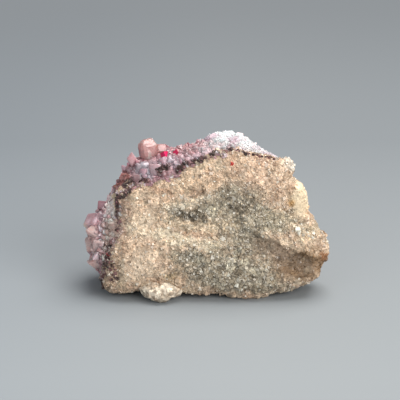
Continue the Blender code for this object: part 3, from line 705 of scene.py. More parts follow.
def granular(name, grain, contrast=1.0, bump_depth=0.00010):
    """Sugary rock: each grain has its own brightness and gloss, over the tone painted on the form."""
    k = Nodes(name)
    place = k.add("TexCoord").outputs["Object"]
    tone = k.add("Attribute", attribute_name="tone").outputs["Color"]
    grit = k.add("Attribute", attribute_name="grit").outputs["Fac"]
    small = k.add("TexVoronoi", Scale=1.0 / grain)
    large = k.add("TexVoronoi", Scale=0.45 / grain)
    mottle = k.add("TexNoise", Scale=0.16 / grain, Detail=3.0, Roughness=0.6)
    for node in (small, large, mottle):
        k.link(place, node.inputs["Vector"])
    s = k.add("SeparateColor")
    k.link(small.outputs["Color"], s.inputs[0])
    b = k.add("SeparateColor")
    k.link(large.outputs["Color"], b.inputs[0])
    light = k.ramp(s.outputs[0], [(0.0, 0.34), (0.10, 0.58), (0.28, 0.86), (0.60, 1.0), (0.82, 1.25), (0.93, 1.8), (1.0, 2.4)])
    broad = k.ramp(b.outputs[1], [(0.0, 0.58), (0.3, 0.88), (0.7, 1.06), (1.0, 1.45)])
    soft = k.ramp(mottle.outputs["Fac"], [(0.30, 0.86), (0.70, 1.14)])
    amount = k.maths("MULTIPLY", grit, 0.85 * contrast)
    lit = k.mix("MIX", amount, (1, 1, 1, 1), light)
    half = k.maths("MULTIPLY", grit, 0.6 * contrast)
    wide = k.mix("MIX", half, (1, 1, 1, 1), broad)
    out = k.mix("MULTIPLY", 1.0, tone, lit)
    out = k.mix("MULTIPLY", 1.0, out, wide)
    out = k.mix("MULTIPLY", 1.0, out, soft)
    dust = k.add("TexNoise", Scale=0.75 / grain, Detail=5.0, Roughness=0.75)
    k.link(place, dust.inputs["Vector"])
    out = k.mix("MULTIPLY", 1.0, out, k.ramp(dust.outputs["Fac"], [(0.32, 0.74), (0.50, 1.0), (0.68, 1.24)]))
    k.link(out, k.shader.inputs["Base Color"])
    gloss = k.ramp(s.outputs[2], [(0.0, 0.85), (0.6, 0.7), (0.85, 0.38), (1.0, 0.22)])
    k.link(gloss, k.shader.inputs["Roughness"])
    height = k.add("Bump", Strength=0.55, Distance=bump_depth)
    relief = k.maths("ADD", small.outputs["Distance"], k.maths("MULTIPLY", s.outputs[1], 0.6))
    k.link(k.maths("ADD", relief, k.maths("MULTIPLY", dust.outputs["Fac"], 1.2)), height.inputs["Height"])
    k.link(height.outputs["Normal"], k.shader.inputs["Normal"])
    k.shader.inputs["IOR"].default_value = 1.6
    return k.mat


def crystal(name, transmission, roughness, streak=0.25, bump_depth=0.00004, subsurface=0.0, veil=1.0, scale=1.0, glow=0.0012):
    """Cloudy calcite: the painted tone, with veils, fine cleavage lines and glossy, slightly stepped faces."""
    k = Nodes(name)
    place = k.add("TexCoord").outputs["Object"]
    tone = k.add("Attribute", attribute_name="tone").outputs["Color"]
    cloud = k.add("TexNoise", Scale=700.0 * scale, Detail=4.0, Roughness=0.6)
    lines = k.add("TexWave", Scale=900.0 * scale, Distortion=3.0, Detail=2.0, wave_type="BANDS", bands_direction="DIAGONAL")
    grain = k.add("TexVoronoi", Scale=1500.0 * scale)
    for node in (cloud, lines, grain):
        k.link(place, node.inputs["Vector"])
    light = k.ramp(cloud.outputs["Fac"], [(0.30, 1.0 - 0.22 * veil), (0.52, 1.0), (0.72, 1.0 + 0.30 * veil)])
    out = k.mix("MULTIPLY", 1.0, tone, light)
    streaks = k.ramp(lines.outputs["Fac"], [(0.0, 1.0), (0.8, 1.0), (1.0, 1.25)])
    out = k.mix("MULTIPLY", streak, out, streaks)
    k.link(out, k.shader.inputs["Base Color"])
    rough_ = k.ramp(cloud.outputs["Fac"], [(0.3, roughness * 0.6), (0.7, min(1.0, roughness * 1.6))])
    k.link(rough_, k.shader.inputs["Roughness"])
    height = k.add("Bump", Strength=0.5, Distance=bump_depth)
    k.link(k.maths("ADD", k.maths("MULTIPLY", lines.outputs["Fac"], 0.4), cloud.outputs["Fac"]), height.inputs["Height"])
    k.link(height.outputs["Normal"], k.shader.inputs["Normal"])
    k.shader.inputs["Transmission Weight"].default_value = transmission
    k.shader.inputs["IOR"].default_value = 1.55
    if subsurface:
        k.shader.inputs["Subsurface Weight"].default_value = subsurface
        k.shader.inputs["Subsurface Radius"].default_value = (1.0, 0.72, 0.68)
        k.shader.inputs["Subsurface Scale"].default_value = glow
    return k.mat


ROCK = granular("granular_matrix", 0.00046)
CREAM_ROCK = granular("cream_calcite", 0.00050, 0.8)
DRUSE = granular("druse_ground", 0.00055, 0.6, 0.00014)
CRYSTALS = crystal("cobaltoan_calcite", 0.16, 0.20, subsurface=0.5, glow=0.0014)
CLOUDY = crystal("cobaltoan_calcite_cloudy", 0.24, 0.16, subsurface=0.6, scale=0.8, glow=0.0020)
GRAINS = crystal("calcite_grains", 0.15, 0.19, bump_depth=0.00002)
FROST = crystal("white_calcite_crystals", 0.04, 0.24, subsurface=0.5, glow=0.0010)
OXIDES = crystal("oxide_grains", 0.0, 0.45)
WHITE = granular("white_calcite", 0.00045, 0.45, 0.00010)


# ---------------------------------------------------------------- crystals as joined meshes
def rhomb_template(stretch, bevel, segments=1):
    """A calcite rhomb of unit edge, set on its corner, its edges worn by the bevel: points and triangles."""
    bm = bmesh.new()
    bmesh.ops.create_cube(bm, size=1.0)
    turn = Vector((1, 1, 1)).rotation_difference(Vector((0, 0, 1))).to_matrix()
    for vert in bm.verts:
        p = turn @ vert.co
        vert.co = Vector((p.x, p.y, p.z * stretch))
    if bevel:
        bmesh.ops.bevel(bm, geom=bm.edges[:], offset=bevel, offset_type="OFFSET", segments=segments, profile=0.5, affect="EDGES")
    bmesh.ops.triangulate(bm, faces=bm.faces[:])
    bmesh.ops.recalc_face_normals(bm, faces=bm.faces[:])
    points = np.array([v.co[:] for v in bm.verts])
    tris = np.array([[v.index for v in f.verts] for f in bm.faces])
    bm.free()
    return points, tris


def frames_for(directions, roll):
    """Rotation matrices whose third column is each direction."""
    z = unit(directions)
    helper = np.where(np.abs(z[:, 2:3]) < 0.9, np.array([[0.0, 0.0, 1.0]]), np.array([[1.0, 0.0, 0.0]]))
    x = unit(np.cross(helper, z))
    y = np.cross(z, x)
    c, s = np.cos(roll)[:, None], np.sin(roll)[:, None]
    return np.stack([x * c + y * s, -x * s + y * c, z], axis=2)


def scatter(name, template, centres, directions, sizes, stretches, rolls, colours, jitter=0.0, seed=0):
    """Many crystals as one mesh. Each has its own cell on the map."""
    points, tris = template
    count = len(centres)
    rng = np.random.default_rng(seed)
    local = np.repeat(points[None], count, axis=0)
    if jitter:
        local = local * (1 + jitter * (rng.random((count, 1, 3)) - 0.5) * 2)
    local = local * np.stack([sizes, sizes, sizes * stretches], axis=1)[:, None, :]
    turn = frames_for(directions, rolls)
    world = np.einsum("nij,nkj->nki", turn, local) + centres[:, None, :]
    faces = (tris[None] + (np.arange(count) * len(points))[:, None, None]).reshape(-1, 3)
    side = int(math.ceil(math.sqrt(count)))
    inner = int(math.ceil(math.sqrt(len(tris))))
    cell = 1.0 / side
    cx, cy = (np.arange(count) % side) * cell, (np.arange(count) // side) * cell
    tx, ty = (np.arange(len(tris)) % inner) * cell / inner, (np.arange(len(tris)) // inner) * cell / inner
    corner = np.array([[0.08, 0.08], [0.92, 0.08], [0.08, 0.92]]) * cell / inner
    places = (
        np.stack([cx, cy], axis=1)[:, None, None, :] + np.stack([tx, ty], axis=1)[None, :, None, :] + corner[None, None]
    ).reshape(-1, 3, 2)
    tones = np.repeat(colours, len(points), axis=0)
    return new_object(name, world.reshape(-1, 3), faces, places, tones, np.full(count * len(points), 0.6))


PLAIN = rhomb_template(1.0, 0.0)
WORN = rhomb_template(1.0, 0.09)
SOFT = rhomb_template(1.0, 0.14, 3)


def sample_surface(points, tris, count, seed, weight=None):
    """Random places over a surface: points and normals."""
    a, b, c = points[tris[:, 0]], points[tris[:, 1]], points[tris[:, 2]]
    n = np.cross(b - a, c - a)
    area = np.linalg.norm(n, axis=1)
    if weight is not None:
        area = area * weight((a + b + c) / 3)
    rng = np.random.default_rng(seed)
    pick = rng.choice(len(tris), size=count, p=area / area.sum())
    r1, r2 = np.sqrt(rng.random(count)), rng.random(count)
    where = (1 - r1)[:, None] * a[pick] + (r1 * (1 - r2))[:, None] * b[pick] + (r1 * r2)[:, None] * c[pick]
    return where, unit(n[pick])


# ================================================================ the block
def make_matrix():
    world, n, quads, places = pillow((150, 140, 52), MATRIX_OUTLINE, CENTRE, 0.0, MATRIX_FRONT, MATRIX_BACK, 4.0, matrix_shape)
    tris, spots = split_quads(quads, places, 1)
    normals = vertex_normals(world, tris)
    rng = np.random.default_rng(2)
    gx, gy, w = grid_of(world)
    front = ramp(w, -0.003, 0.003)
    # broken surface: low steps, then grains
    d, away, own = cells(world, 0.0022, 41)
    steps = 0.00028 * (own[:, 3] - 0.5) + 0.22 * ((own[:, :3] - 0.5) * away).sum(1)
    _, away3, own3 = cells(world + 0.0006 * np.stack([smooth_noise(world, 0.002, 47), smooth_noise(world, 0.002, 48), smooth_noise(world, 0.002, 49)], axis=1), 0.0050, 44)
    steps = steps + 0.00030 * (own3[:, 3] - 0.5) + 0.13 * ((own3[:, :3] - 0.5) * away3).sum(1)
    d2, away2, own2 = cells(world, 0.00075, 42)
    grains = 0.00014 * (own2[:, 3] - 0.5) + 0.30 * ((own2[:, :3] - 0.5) * away2).sum(1)
    lumps = 0.00035 * fractal(world, 0.003, 43)
    jag = 0.00011 * (rng.random(len(world)) - 0.5) * 2
    grey = matrix_colour(world)[1]
    move = lumps + steps * (0.35 + 0.65 * ramp(grey, 0.1, 0.45)) + grains * (0.15 + 1.05 * grey) + jag * (0.12 + 1.35 * grey)
    out = world + normals * move[:, None]
    side = np.cross(normals, rng.normal(size=world.shape))
    out = out + unit(side) * (0.00008 * rng.random(len(world)))[:, None]
    # nothing sinks under the ground, and the contacts stay flat
    out[:, 2] = np.maximum(out[:, 2], 0.00002)
    colour, grit = matrix_colour(out)
    obj = new_object("matrix_surface", out, tris, spots, colour, grit)
    obj.data.materials.append(ROCK)
    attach(obj, "root")
    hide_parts("matrix")
    return obj, out, tris


matrix_obj, matrix_points, matrix_tris = make_matrix()
matrix_tree = BVHTree.FromPolygons(matrix_points.tolist(), matrix_tris.tolist())


# ================================================================ the druse
def make_crust():
    world, n, quads, places = pillow((96, 84, 44), CRUST_OUTLINE, CENTRE, CRUST_PLANE, CRUST_FRONT, CRUST_BACK, 3.4, crust_shape)
    tris, spots = split_quads(quads, places, 3)
    normals = vertex_normals(world, tris)
    rng = np.random.default_rng(4)
    d, away, own = cells(world, 0.0016, 51)
    steps = 0.0004 * (own[:, 3] - 0.4) + 0.35 * ((own[:, :3] - 0.5) * away).sum(1)
    jag = 0.00010 * (rng.random(len(world)) - 0.5) * 2
    out = world + normals * (steps + jag + 0.0002 * fractal(world, 0.0012, 53))[:, None]
    obj = new_object("druse_ground", out, tris, spots, crust_colour(out), 0.55 + 0.0 * out[:, 0])
    obj.data.materials.append(DRUSE)
    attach(obj, "root")
    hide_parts("pink_druse")
    return obj, out, tris


crust_obj, crust_points, crust_tris = make_crust()
crust_tree = BVHTree.FromPolygons(crust_points.tolist(), crust_tris.tolist())


def outside_block(points, depth=0.0004):
    """True where a point lies clear of the block."""
    keep = np.ones(len(points), dtype=bool)
    for i, p in enumerate(points):
        near, normal, _, dist = matrix_tree.find_nearest(Vector(p))
        if near is not None and (Vector(p) - near).dot(normal) < depth:
            keep[i] = False
    return keep


def inside_crust(points):
    """True where a point lies well under the druse."""
    keep = np.zeros(len(points), dtype=bool)
    for i, p in enumerate(points):
        near, normal, _, dist = crust_tree.find_nearest(Vector(p))
        keep[i] = near is not None and (Vector(p) - near).dot(normal) < -0.0006
    return keep


def first_hit(gx, gy, trees):
    """What the front shows at a grid point: the point and its normal."""
    u, v = on_grid(gx, gy)
    start = Vector(to_world(np.array([u, v, 0.06])))
    inward = (Vector(to_world(np.array([u, v, 0.0]))) - start).normalized()
    hits = []
    for tree in trees:
        point, normal, _, distance = tree.ray_cast(start, inward)
        if point is not None:
            hits.append((distance, point, normal))
    if not hits:
        return None, None
    return min(hits, key=lambda h: h[0])[1:]


def make_druse_crystals():
    rng = np.random.default_rng(7)
    where, normals = sample_surface(crust_points, crust_tris, 15000, 8)
    keep = outside_block(where, 0.0001)
    where, normals = where[keep], normals[keep]
    count = len(where)
    gx, gy, w = grid_of(where)
    front = ramp(w, -0.006, -0.002)
    size = np.where(rng.random(count) < front, 0.00026 + 0.00062 * rng.random(count) ** 2.4, 0.0005 + 0.0011 * rng.random(count) ** 2.2)
    lean = unit(normals + 0.75 * rng.normal(size=(count, 3)) * (0.5 + 0.7 * front)[:, None])
    centres = where - lean * (size * (0.15 + 0.15 * front))[:, None]
    tones = crystal_tones(where, rng)
    small = scatter("druse_small_crystals", PLAIN, centres, lean, size, 0.9 + 0.6 * rng.random(count), rng.random(count) * 6.3, tones, 0.2, 9)
    small.data.materials.append(CRYSTALS)
    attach(small, "root")
    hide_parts("pink_druse")

    # worn crystals over the hidden side, some of them large
    where, normals = sample_surface(crust_points, crust_tris, 4200, 18)
    keep = outside_block(where, 0.0005)
    where, normals = where[keep], normals[keep]
    gx, gy, w = grid_of(where)
    hidden = 1 - ramp(w, -0.006, -0.002)
    count = len(where)
    big = rng.random(count) < 0.16 * (where[:, 2] > 0.007)
    size = np.where(big, 0.0016 + 0.0018 * rng.random(count) ** 1.6, 0.0008 + 0.0007 * rng.random(count))
    size = np.where((gy < 162) & (w > -0.012), np.minimum(size, 0.0012), size)
    keep = (big | (rng.random(count) < 0.55)) & (rng.random(count) < hidden)
    where, normals, size = where[keep], normals[keep], size[keep]
    count = len(where)
    lean = unit(normals + 0.3 * rng.normal(size=(count, 3)))
    tones = crystal_tones(where, rng, 0.7)
    centres = where - lean * (size * 0.12)[:, None]
    worn = scatter("druse_worn_crystals", WORN, centres, lean, size, 0.9 + 0.45 * rng.random(count), rng.random(count) * 6.3, tones, 0.2, 19)
    worn.data.shade_smooth()
    worn.data.set_sharp_from_angle(angle=math.radians(50))
    worn.data.materials.append(CRYSTALS)
    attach(worn, "root")
    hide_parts("pink_druse")

    # the strip that faces forwards: cloudy masses that stand nearly the same way and are sunk into each other
    where, normals = sample_surface(crust_points, crust_tris, 5200, 118)
    keep = outside_block(where, 0.0002)
    where, normals = where[keep], normals[keep]
    gx, gy, w = grid_of(where)
    front = ramp(w, -0.0065, -0.002)
    keep = (rng.random(len(where)) < 0.85 * front) & ((w < -0.002) | (seam_distance(gx, gy) < -1.5))
    where, normals, gx, gy = where[keep], normals[keep], gx[keep], gy[keep]
    count = len(where)
    size = 0.0007 + 0.0019 * rng.random(count) ** 2.6
    fine = ramp(bump(gx, gy, 111, 220, 7, 46), 0.15, 0.6)
    size = size * (1 - 0.55 * fine)
    crest = ramp(bump(gx, gy, 190, 146, 36, 12), 0.15, 0.6)
    size = np.minimum(size, 0.0026 - 0.0014 * crest)
    clear = np.min([np.hypot(gx - 165, gy - 156.5), np.hypot(gx - 176, gy - 153.5), np.hypot(gx - 149, gy - 150) - 6], axis=0)
    size = np.where(clear < 4.5, size * 0.45, size)
    away = np.stack([gx - CENTRE[0], CENTRE[1] - gy], axis=1)
    away /= np.linalg.norm(away, axis=1)[:, None]
    outward = away[:, :1] * face_vector(1, 0, 0) + away[:, 1:] * face_vector(0, 1, 0)
    outer = ramp(bump(gx, gy, 90, 246, 10, 28), 0.2, 0.7)
    lean = unit(0.50 * normals + 0.40 * outward + 0.65 * face_vector(0, 0, 1) + (0.30 - 0.12 * outer)[:, None] * rng.normal(size=(count, 3)))
    size = size * (1 + 0.60 * outer)
    centres = where - normals * (size * (0.30 + 0.14 * rng.random(count) + 0.22 * outer))[:, None]
    tones = crystal_tones(where, rng, 0.6)
    blocks = scatter("druse_cloudy_crystals", WORN, centres, lean, size, 0.95 + 0.5 * rng.random(count), 0.9 + 0.5 * rng.normal(size=count), tones, 0.2, 119)
    blocks.data.shade_smooth()
    blocks.data.set_sharp_from_angle(angle=math.radians(50))
    blocks.data.materials.append(CLOUDY)
    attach(blocks, "root")
    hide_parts("pink_druse")
    return [small, blocks]


druse_crystals = make_druse_crystals()
crystal_trees = []
for crystal_obj in druse_crystals:
    found, faces = arrays_of(crystal_obj)
    crystal_trees.append(BVHTree.FromPolygons(found.tolist(), faces.tolist()))


def make_seam_crystals():
    """Crust crystals that reach over the edge of the rock, so that the two run into each other."""
    rng = np.random.default_rng(57)

    def near_seam(middle):
        gx, gy, w = grid_of(middle)
        return np.where((w > -0.001) & (gx < 228), ramp(6.0 - np.abs(seam_distance(gx, gy) - 0.5), 0, 6) ** 1.5, 0.0) + 1e-9

    where, normals = sample_surface(matrix_points, matrix_tris, 950, 58, near_seam)
    count = len(where)
    size = 0.00032 + 0.00055 * rng.random(count) ** 1.8
    lean = unit(normals + 0.8 * rng.normal(size=(count, 3)))
    tones = crystal_tones(where, rng)
    rocky = rng.random(count) < 0.35
    tones[rocky] = matrix_colour(where[rocky])[0] * (0.8 + 0.5 * rng.random((rocky.sum(), 1)))
    obj = scatter("seam_crystals", PLAIN, where - normals * (size * 0.2)[:, None], lean, size, 0.9 + 0.6 * rng.random(count), rng.random(count) * 6.3, np.clip(tones, 0.01, 0.95), 0.2, 59)
    obj.data.materials.append(CRYSTALS)
    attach(obj, "root")


make_seam_crystals()

EDGE_CRYSTALS = [
    (132.4, 160.6, 0.0026, 0.0029, 1.5), (127, 174, 0.0006, 0.0026, 1.2), (120.5, 182, 0.0010, 0.0022, 1.2),
    (116.5, 188, 0.0014, 0.0021, 1.1), (113.5, 197, 0.0006, 0.0021, 1.2), (92.5, 241, 0.0000, 0.0031, 1.0),
    (92.5, 252, 0.0004, 0.0029, 1.1), (95, 260.5, 0.0006, 0.0026, 1.0), (102, 269, 0.0014, 0.0023, 1.0),
    (103, 238, 0.0030, 0.0027, 1.0), (106, 250, 0.0036, 0.0022, 1.0), (170, 153.5, 0.0012, 0.0027, 1.1),
    (180, 150, 0.0004, 0.0027, 1.1), (189, 147.5, 0.0002, 0.0026, 1.2), (198, 145.5, 0.0000, 0.0025, 1.1),
    (160.0, 151.6, 0.0002, 0.0049, 1.0), (145, 167, 0.0040, 0.0028, 1.0), (155, 166, 0.0040, 0.0025, 1.1),
    (140, 167, 0.0030, 0.0021, 1.0), (129, 182, 0.0034, 0.0019, 1.2), (101, 230, 0.0016, 0.0032, 1.0),
    (110, 214, 0.0028, 0.0022, 1.0),
]


def make_edge_crystals():
    lean_to = [(-0.7, 0.6, 0.3), (-0.5, 0.8, 0.4), (-0.9, 0.3, 0.2), (-0.2, 0.95, 0.3), (0.2, 0.9, 0.2)]
    centres, directions, sizes, stretches, rolls = [], [], [], [], []
    for i, (gx, gy, w, size, stretch) in enumerate(EDGE_CRYSTALS):
        u, v = on_grid(gx, gy)
        out = np.array([gx - CENTRE[0], CENTRE[1] - gy]) / math.hypot(gx - CENTRE[0], CENTRE[1] - gy)
        lean = lean_to[i % len(lean_to)]
        centres.append(to_world(np.array([u, v, w])))
        directions.append(face_vector(out[0] + 0.4 * lean[0], out[1] + 0.4 * lean[1], 0.4 * lean[2]) if i else face_vector(-0.06, 1.0, 0.10))
        sizes.append(size * 0.66)
        stretches.append(stretch)
        rolls.append(i * 1.9)
    centres = np.array(centres)
    plum, mauve, lilac, pink = srgb(142, 96, 98), srgb(192, 155, 157), srgb(218, 200, 206), srgb(186, 140, 143)
    pick = [srgb(212, 168, 172), plum, plum, srgb(150, 98, 88), srgb(208, 186, 176), srgb(202, 162, 168), srgb(196, 156, 162), mauve, srgb(172, 146, 144), mauve, lilac]
    pink_deep = srgb(176, 128, 132)
    pick += [pink, pink, pink_deep, pink_deep, srgb(184, 136, 134), lilac, lilac, lilac, srgb(104, 68, 64), mauve, srgb(216, 200, 188)]
    tones = np.array(pick) * (0.95 + 0.12 * np.sin(np.arange(len(pick)) * 2.7))[:, None]
    tones = np.clip(tones, 0.01, 0.95)
    obj = scatter("edge_crystals", SOFT, centres, np.array(directions), np.array(sizes), np.array(stretches), np.array(rolls), tones)
    obj.data.shade_smooth()
    obj.data.set_sharp_from_angle(angle=math.radians(45))
    obj.data.materials.append(CLOUDY)
    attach(obj, "root")
    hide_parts("pink_druse")


make_edge_crystals()


# ================================================================ cap and nodule
def cap_tone(world):
    gx, gy, w = grid_of(world)
    tone = srgb(252, 248, 246) + 0 * world
    tone = tone * (1.0 + 0.09 * fractal(world, 0.0016, 65))[:, None]
    x = gx + 2.5 * smooth_noise(world, 0.0014, 63)
    y = gy + 2.5 * smooth_noise(world, 0.0014, 66)
    for cx, cy, rx, ry, much in ((207, 139, 7, 6, 0.9), (234, 140, 8, 4, 0.7), (214, 135.5, 9, 3.5, 0.6), (240, 136.5, 9, 2.5, 0.4), (256, 148, 7, 3, 0.35), (270, 154, 12, 4, 0.45)):
        m = much * ramp(bump(x, y, cx, cy, rx, ry), 0.25, 0.85)
        tone = tone + (srgb(204, 168, 182) - tone) * m[:, None]
    # greyer to the right, where it thins out, and behind: partly its own grey, partly painted shade that holds back the
    # strong side light on the right
    greyer_and_shaded = np.maximum(ramp(gx + 4 * smooth_noise(world, 0.0020, 67), 232, 264), 0.9 * ramp(-w, 0.0022, 0.0050))
    return tone * (1.0 - greyer_and_shaded[:, None] * (np.array([0.24, 0.27, 0.26]) + 0.16 * smooth_noise(world, 0.0013, 68)[:, None]))


def make_cap():
    world, n, quads, places = pillow((64, 34, 40), CAP_OUTLINE, CAP_CENTRE, CAP_PLANE, CAP_FRONT, CAP_BACK, 2.6, cap_shape)
    tris, spots = split_quads(quads, places, 5)
    normals = vertex_normals(world, tris)
    rng = np.random.default_rng(6)
    d, away, own = cells(world, 0.0012, 61)
    steps = 0.0003 * (own[:, 3] - 0.5) + 0.22 * ((own[:, :3] - 0.5) * away).sum(1)
    out = world + normals * (steps + 0.0010 * fractal(world, 0.0034, 62) * ramp(-grid_of(world)[2], 0.003, 0.007) + 0.00008 * (rng.random(len(world)) - 0.5) * 2)[:, None]
    gx, gy, w = grid_of(out)
    tone = cap_tone(out)
    m = 0.75 * ramp(fractal(out, 0.0026, 64), -0.25, 0.4) * ramp(-w, 0.003, 0.008)
    tone = tone + (srgb(212, 160, 168) - tone) * m[:, None]
    obj = new_object("white_cap", out, tris, spots, np.clip(tone, 0.01, 1), 0.55 + 0 * out[:, 0])
    obj.data.materials.append(WHITE)
    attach(obj, "root")
    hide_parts("white_calcite_cap")
    return out, tris


cap_points, cap_tris = make_cap()
cap_tree = BVHTree.FromPolygons(cap_points.tolist(), cap_tris.tolist())


def make_cap_crystals():
    rng = np.random.default_rng(66)
    for name, template, total, small, large, sink, seed in (
        ("cap_small_crystals", PLAIN, 4600, 0.00024, 0.00036, 0.38, 67),
        ("cap_worn_crystals", WORN, 420, 0.0007, 0.0009, 0.42, 68),
    ):
        where, normals = sample_surface(cap_points, cap_tris, total, seed)
        keep = outside_block(where, 0.0003)
        if name == "cap_worn_crystals":
            keep = keep & (rng.random(total) < 0.22 + 0.78 * ramp(-grid_of(where)[2], 0.0045, 0.0075))
        where, normals = where[keep], normals[keep]
        count = len(where)
        gx, gy, w = grid_of(where)
        size = small + large * rng.random(count) ** 2.0
        size = size * (0.6 + 0.4 * ramp(280 - gx, 0, 25))
        lean = unit(normals + 0.7 * rng.normal(size=(count, 3)))
        tones = cap_tone(where) * (0.95 + 0.14 * rng.random((count, 1)))
        if name == "cap_worn_crystals":
            size = size * (1 + 1.1 * ramp(-w, 0.0055, 0.0085) * rng.random(count))
        mauve = rng.random(count) < 0.05 + 0.45 * ramp(-w, 0.004, 0.010)
        tones[mauve] = srgb(208, 172, 184) * (0.9 + 0.2 * rng.random((mauve.sum(), 1)))
        obj = scatter(name, template, where - normals * (size * sink)[:, None], lean, size, 0.9 + 0.5 * rng.random(count), rng.random(count) * 6.3, np.clip(tones, 0.01, 0.95), 0.2, seed + 3)
        obj.data.materials.append(FROST)
        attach(obj, "root")
        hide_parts("white_calcite_cap")


make_cap_crystals()


def make_frost_spread():
    """Small white and pale pink crystals that run out from the cap over its neighbours."""
    rng = np.random.default_rng(75)

    def near_cap(middle):
        gx, gy, w = grid_of(middle)
        share = np.full(len(middle), 1e-12)
        for i in np.nonzero((gx > 190) & (gx < 300) & (gy < 185))[0]:
            _, _, _, dist = cap_tree.find_nearest(Vector(middle[i]))
            share[i] = max(0.0, 1.0 - dist / 0.0042) ** 1.6 + 1e-12
        return share

    for name, points, tris, total, limit, node, slot, seed in (
        ("frost_on_druse", crust_points, crust_tris, 2400, -0.0008, "pink_druse", "cobaltoan_calcite", 76),
        ("frost_on_matrix", matrix_points, matrix_tris, 1500, -0.0022, "matrix", "granular_matrix", 77),
    ):
        where, normals = sample_surface(points, tris, total, seed, near_cap)
        gx, gy, w = grid_of(where)
        keep = w < limit
        where, normals = where[keep], normals[keep]
        count = len(where)
        size = 0.00030 + 0.00085 * rng.random(count) ** 2.2
        lean = unit(normals + 0.7 * rng.normal(size=(count, 3)))
        tones = srgb(240, 230, 230) * (0.9 + 0.14 * rng.random((count, 1)))
        rosy = rng.random(count) < 0.35
        tones[rosy] = srgb(216, 176, 184) * (0.9 + 0.2 * rng.random((rosy.sum(), 1)))
        obj = scatter(name, PLAIN, where - normals * (size * 0.2)[:, None], lean, size, 0.9 + 0.5 * rng.random(count), rng.random(count) * 6.3, np.clip(tones, 0.01, 0.95), 0.2, seed + 3)
        obj.data.materials.append(FROST)
        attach(obj, "root")
        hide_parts(node)


make_frost_spread()


def make_nodule():
    world, n, quads, places = pillow((44, 24, 34), NODULE_OUTLINE, NODULE_CENTRE, CONTACT_W - 0.0004, 0.0042, 0.0058, 2.5, nodule_shape)
    tris, spots = split_quads(quads, places, 7)
    normals = vertex_normals(world, tris)
    rng = np.random.default_rng(8)
    d, away, own = cells(world, 0.0010, 71)
    steps = 0.0002 * (own[:, 3] - 0.5) + 0.25 * ((own[:, :3] - 0.5) * away).sum(1)
    out = world + normals * (steps + 0.00006 * (rng.random(len(world)) - 0.5) * 2)[:, None]
    out[:, 2] = np.maximum(out[:, 2], 0.00002)
    tone = srgb(232, 216, 194) + 0 * out
    m = 0.8 * ramp(fractal(out, 0.0016, 73), -0.2, 0.45)
    tone = tone + (srgb(164, 140, 116) - tone) * m[:, None]
    # painted shade: the nodule darker towards the ground
    tone = tone * (0.62 + 0.38 * ramp(out[:, 2], 0.0004, 0.0030))[:, None]
    obj = new_object("cream_nodule", out, tris, spots, np.clip(tone, 0.01, 1), 0.7 + 0 * out[:, 0])
    obj.data.materials.append(CREAM_ROCK)
    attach(obj, "root")
    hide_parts("basal_nodule")


make_nodule()


# ================================================================ grains on the block and in the seam
FLAKES = [
    (296.5, 230, 0.0015), (297.5, 233, 0.0011), (237, 284, 0.0010), (244, 285.5, 0.0009), (228, 273, 0.0008), (241, 289, 0.0007),
    (240, 247, 0.0006), (210, 251, 0.0006), (169, 227, 0.0006), (150, 215, 0.0006), (262, 236, 0.0006),
    (222, 260, 0.0006), (201, 270, 0.0006), (265, 268, 0.0006), (306, 232, 0.0007), (312, 237, 0.0006), (300, 224, 0.0006),
    (276, 182, 0.0006), (214, 182, 0.0006), (164, 196, 0.0006), (140, 205, 0.0006), (184, 240, 0.0007), (198, 214, 0.0006),
]


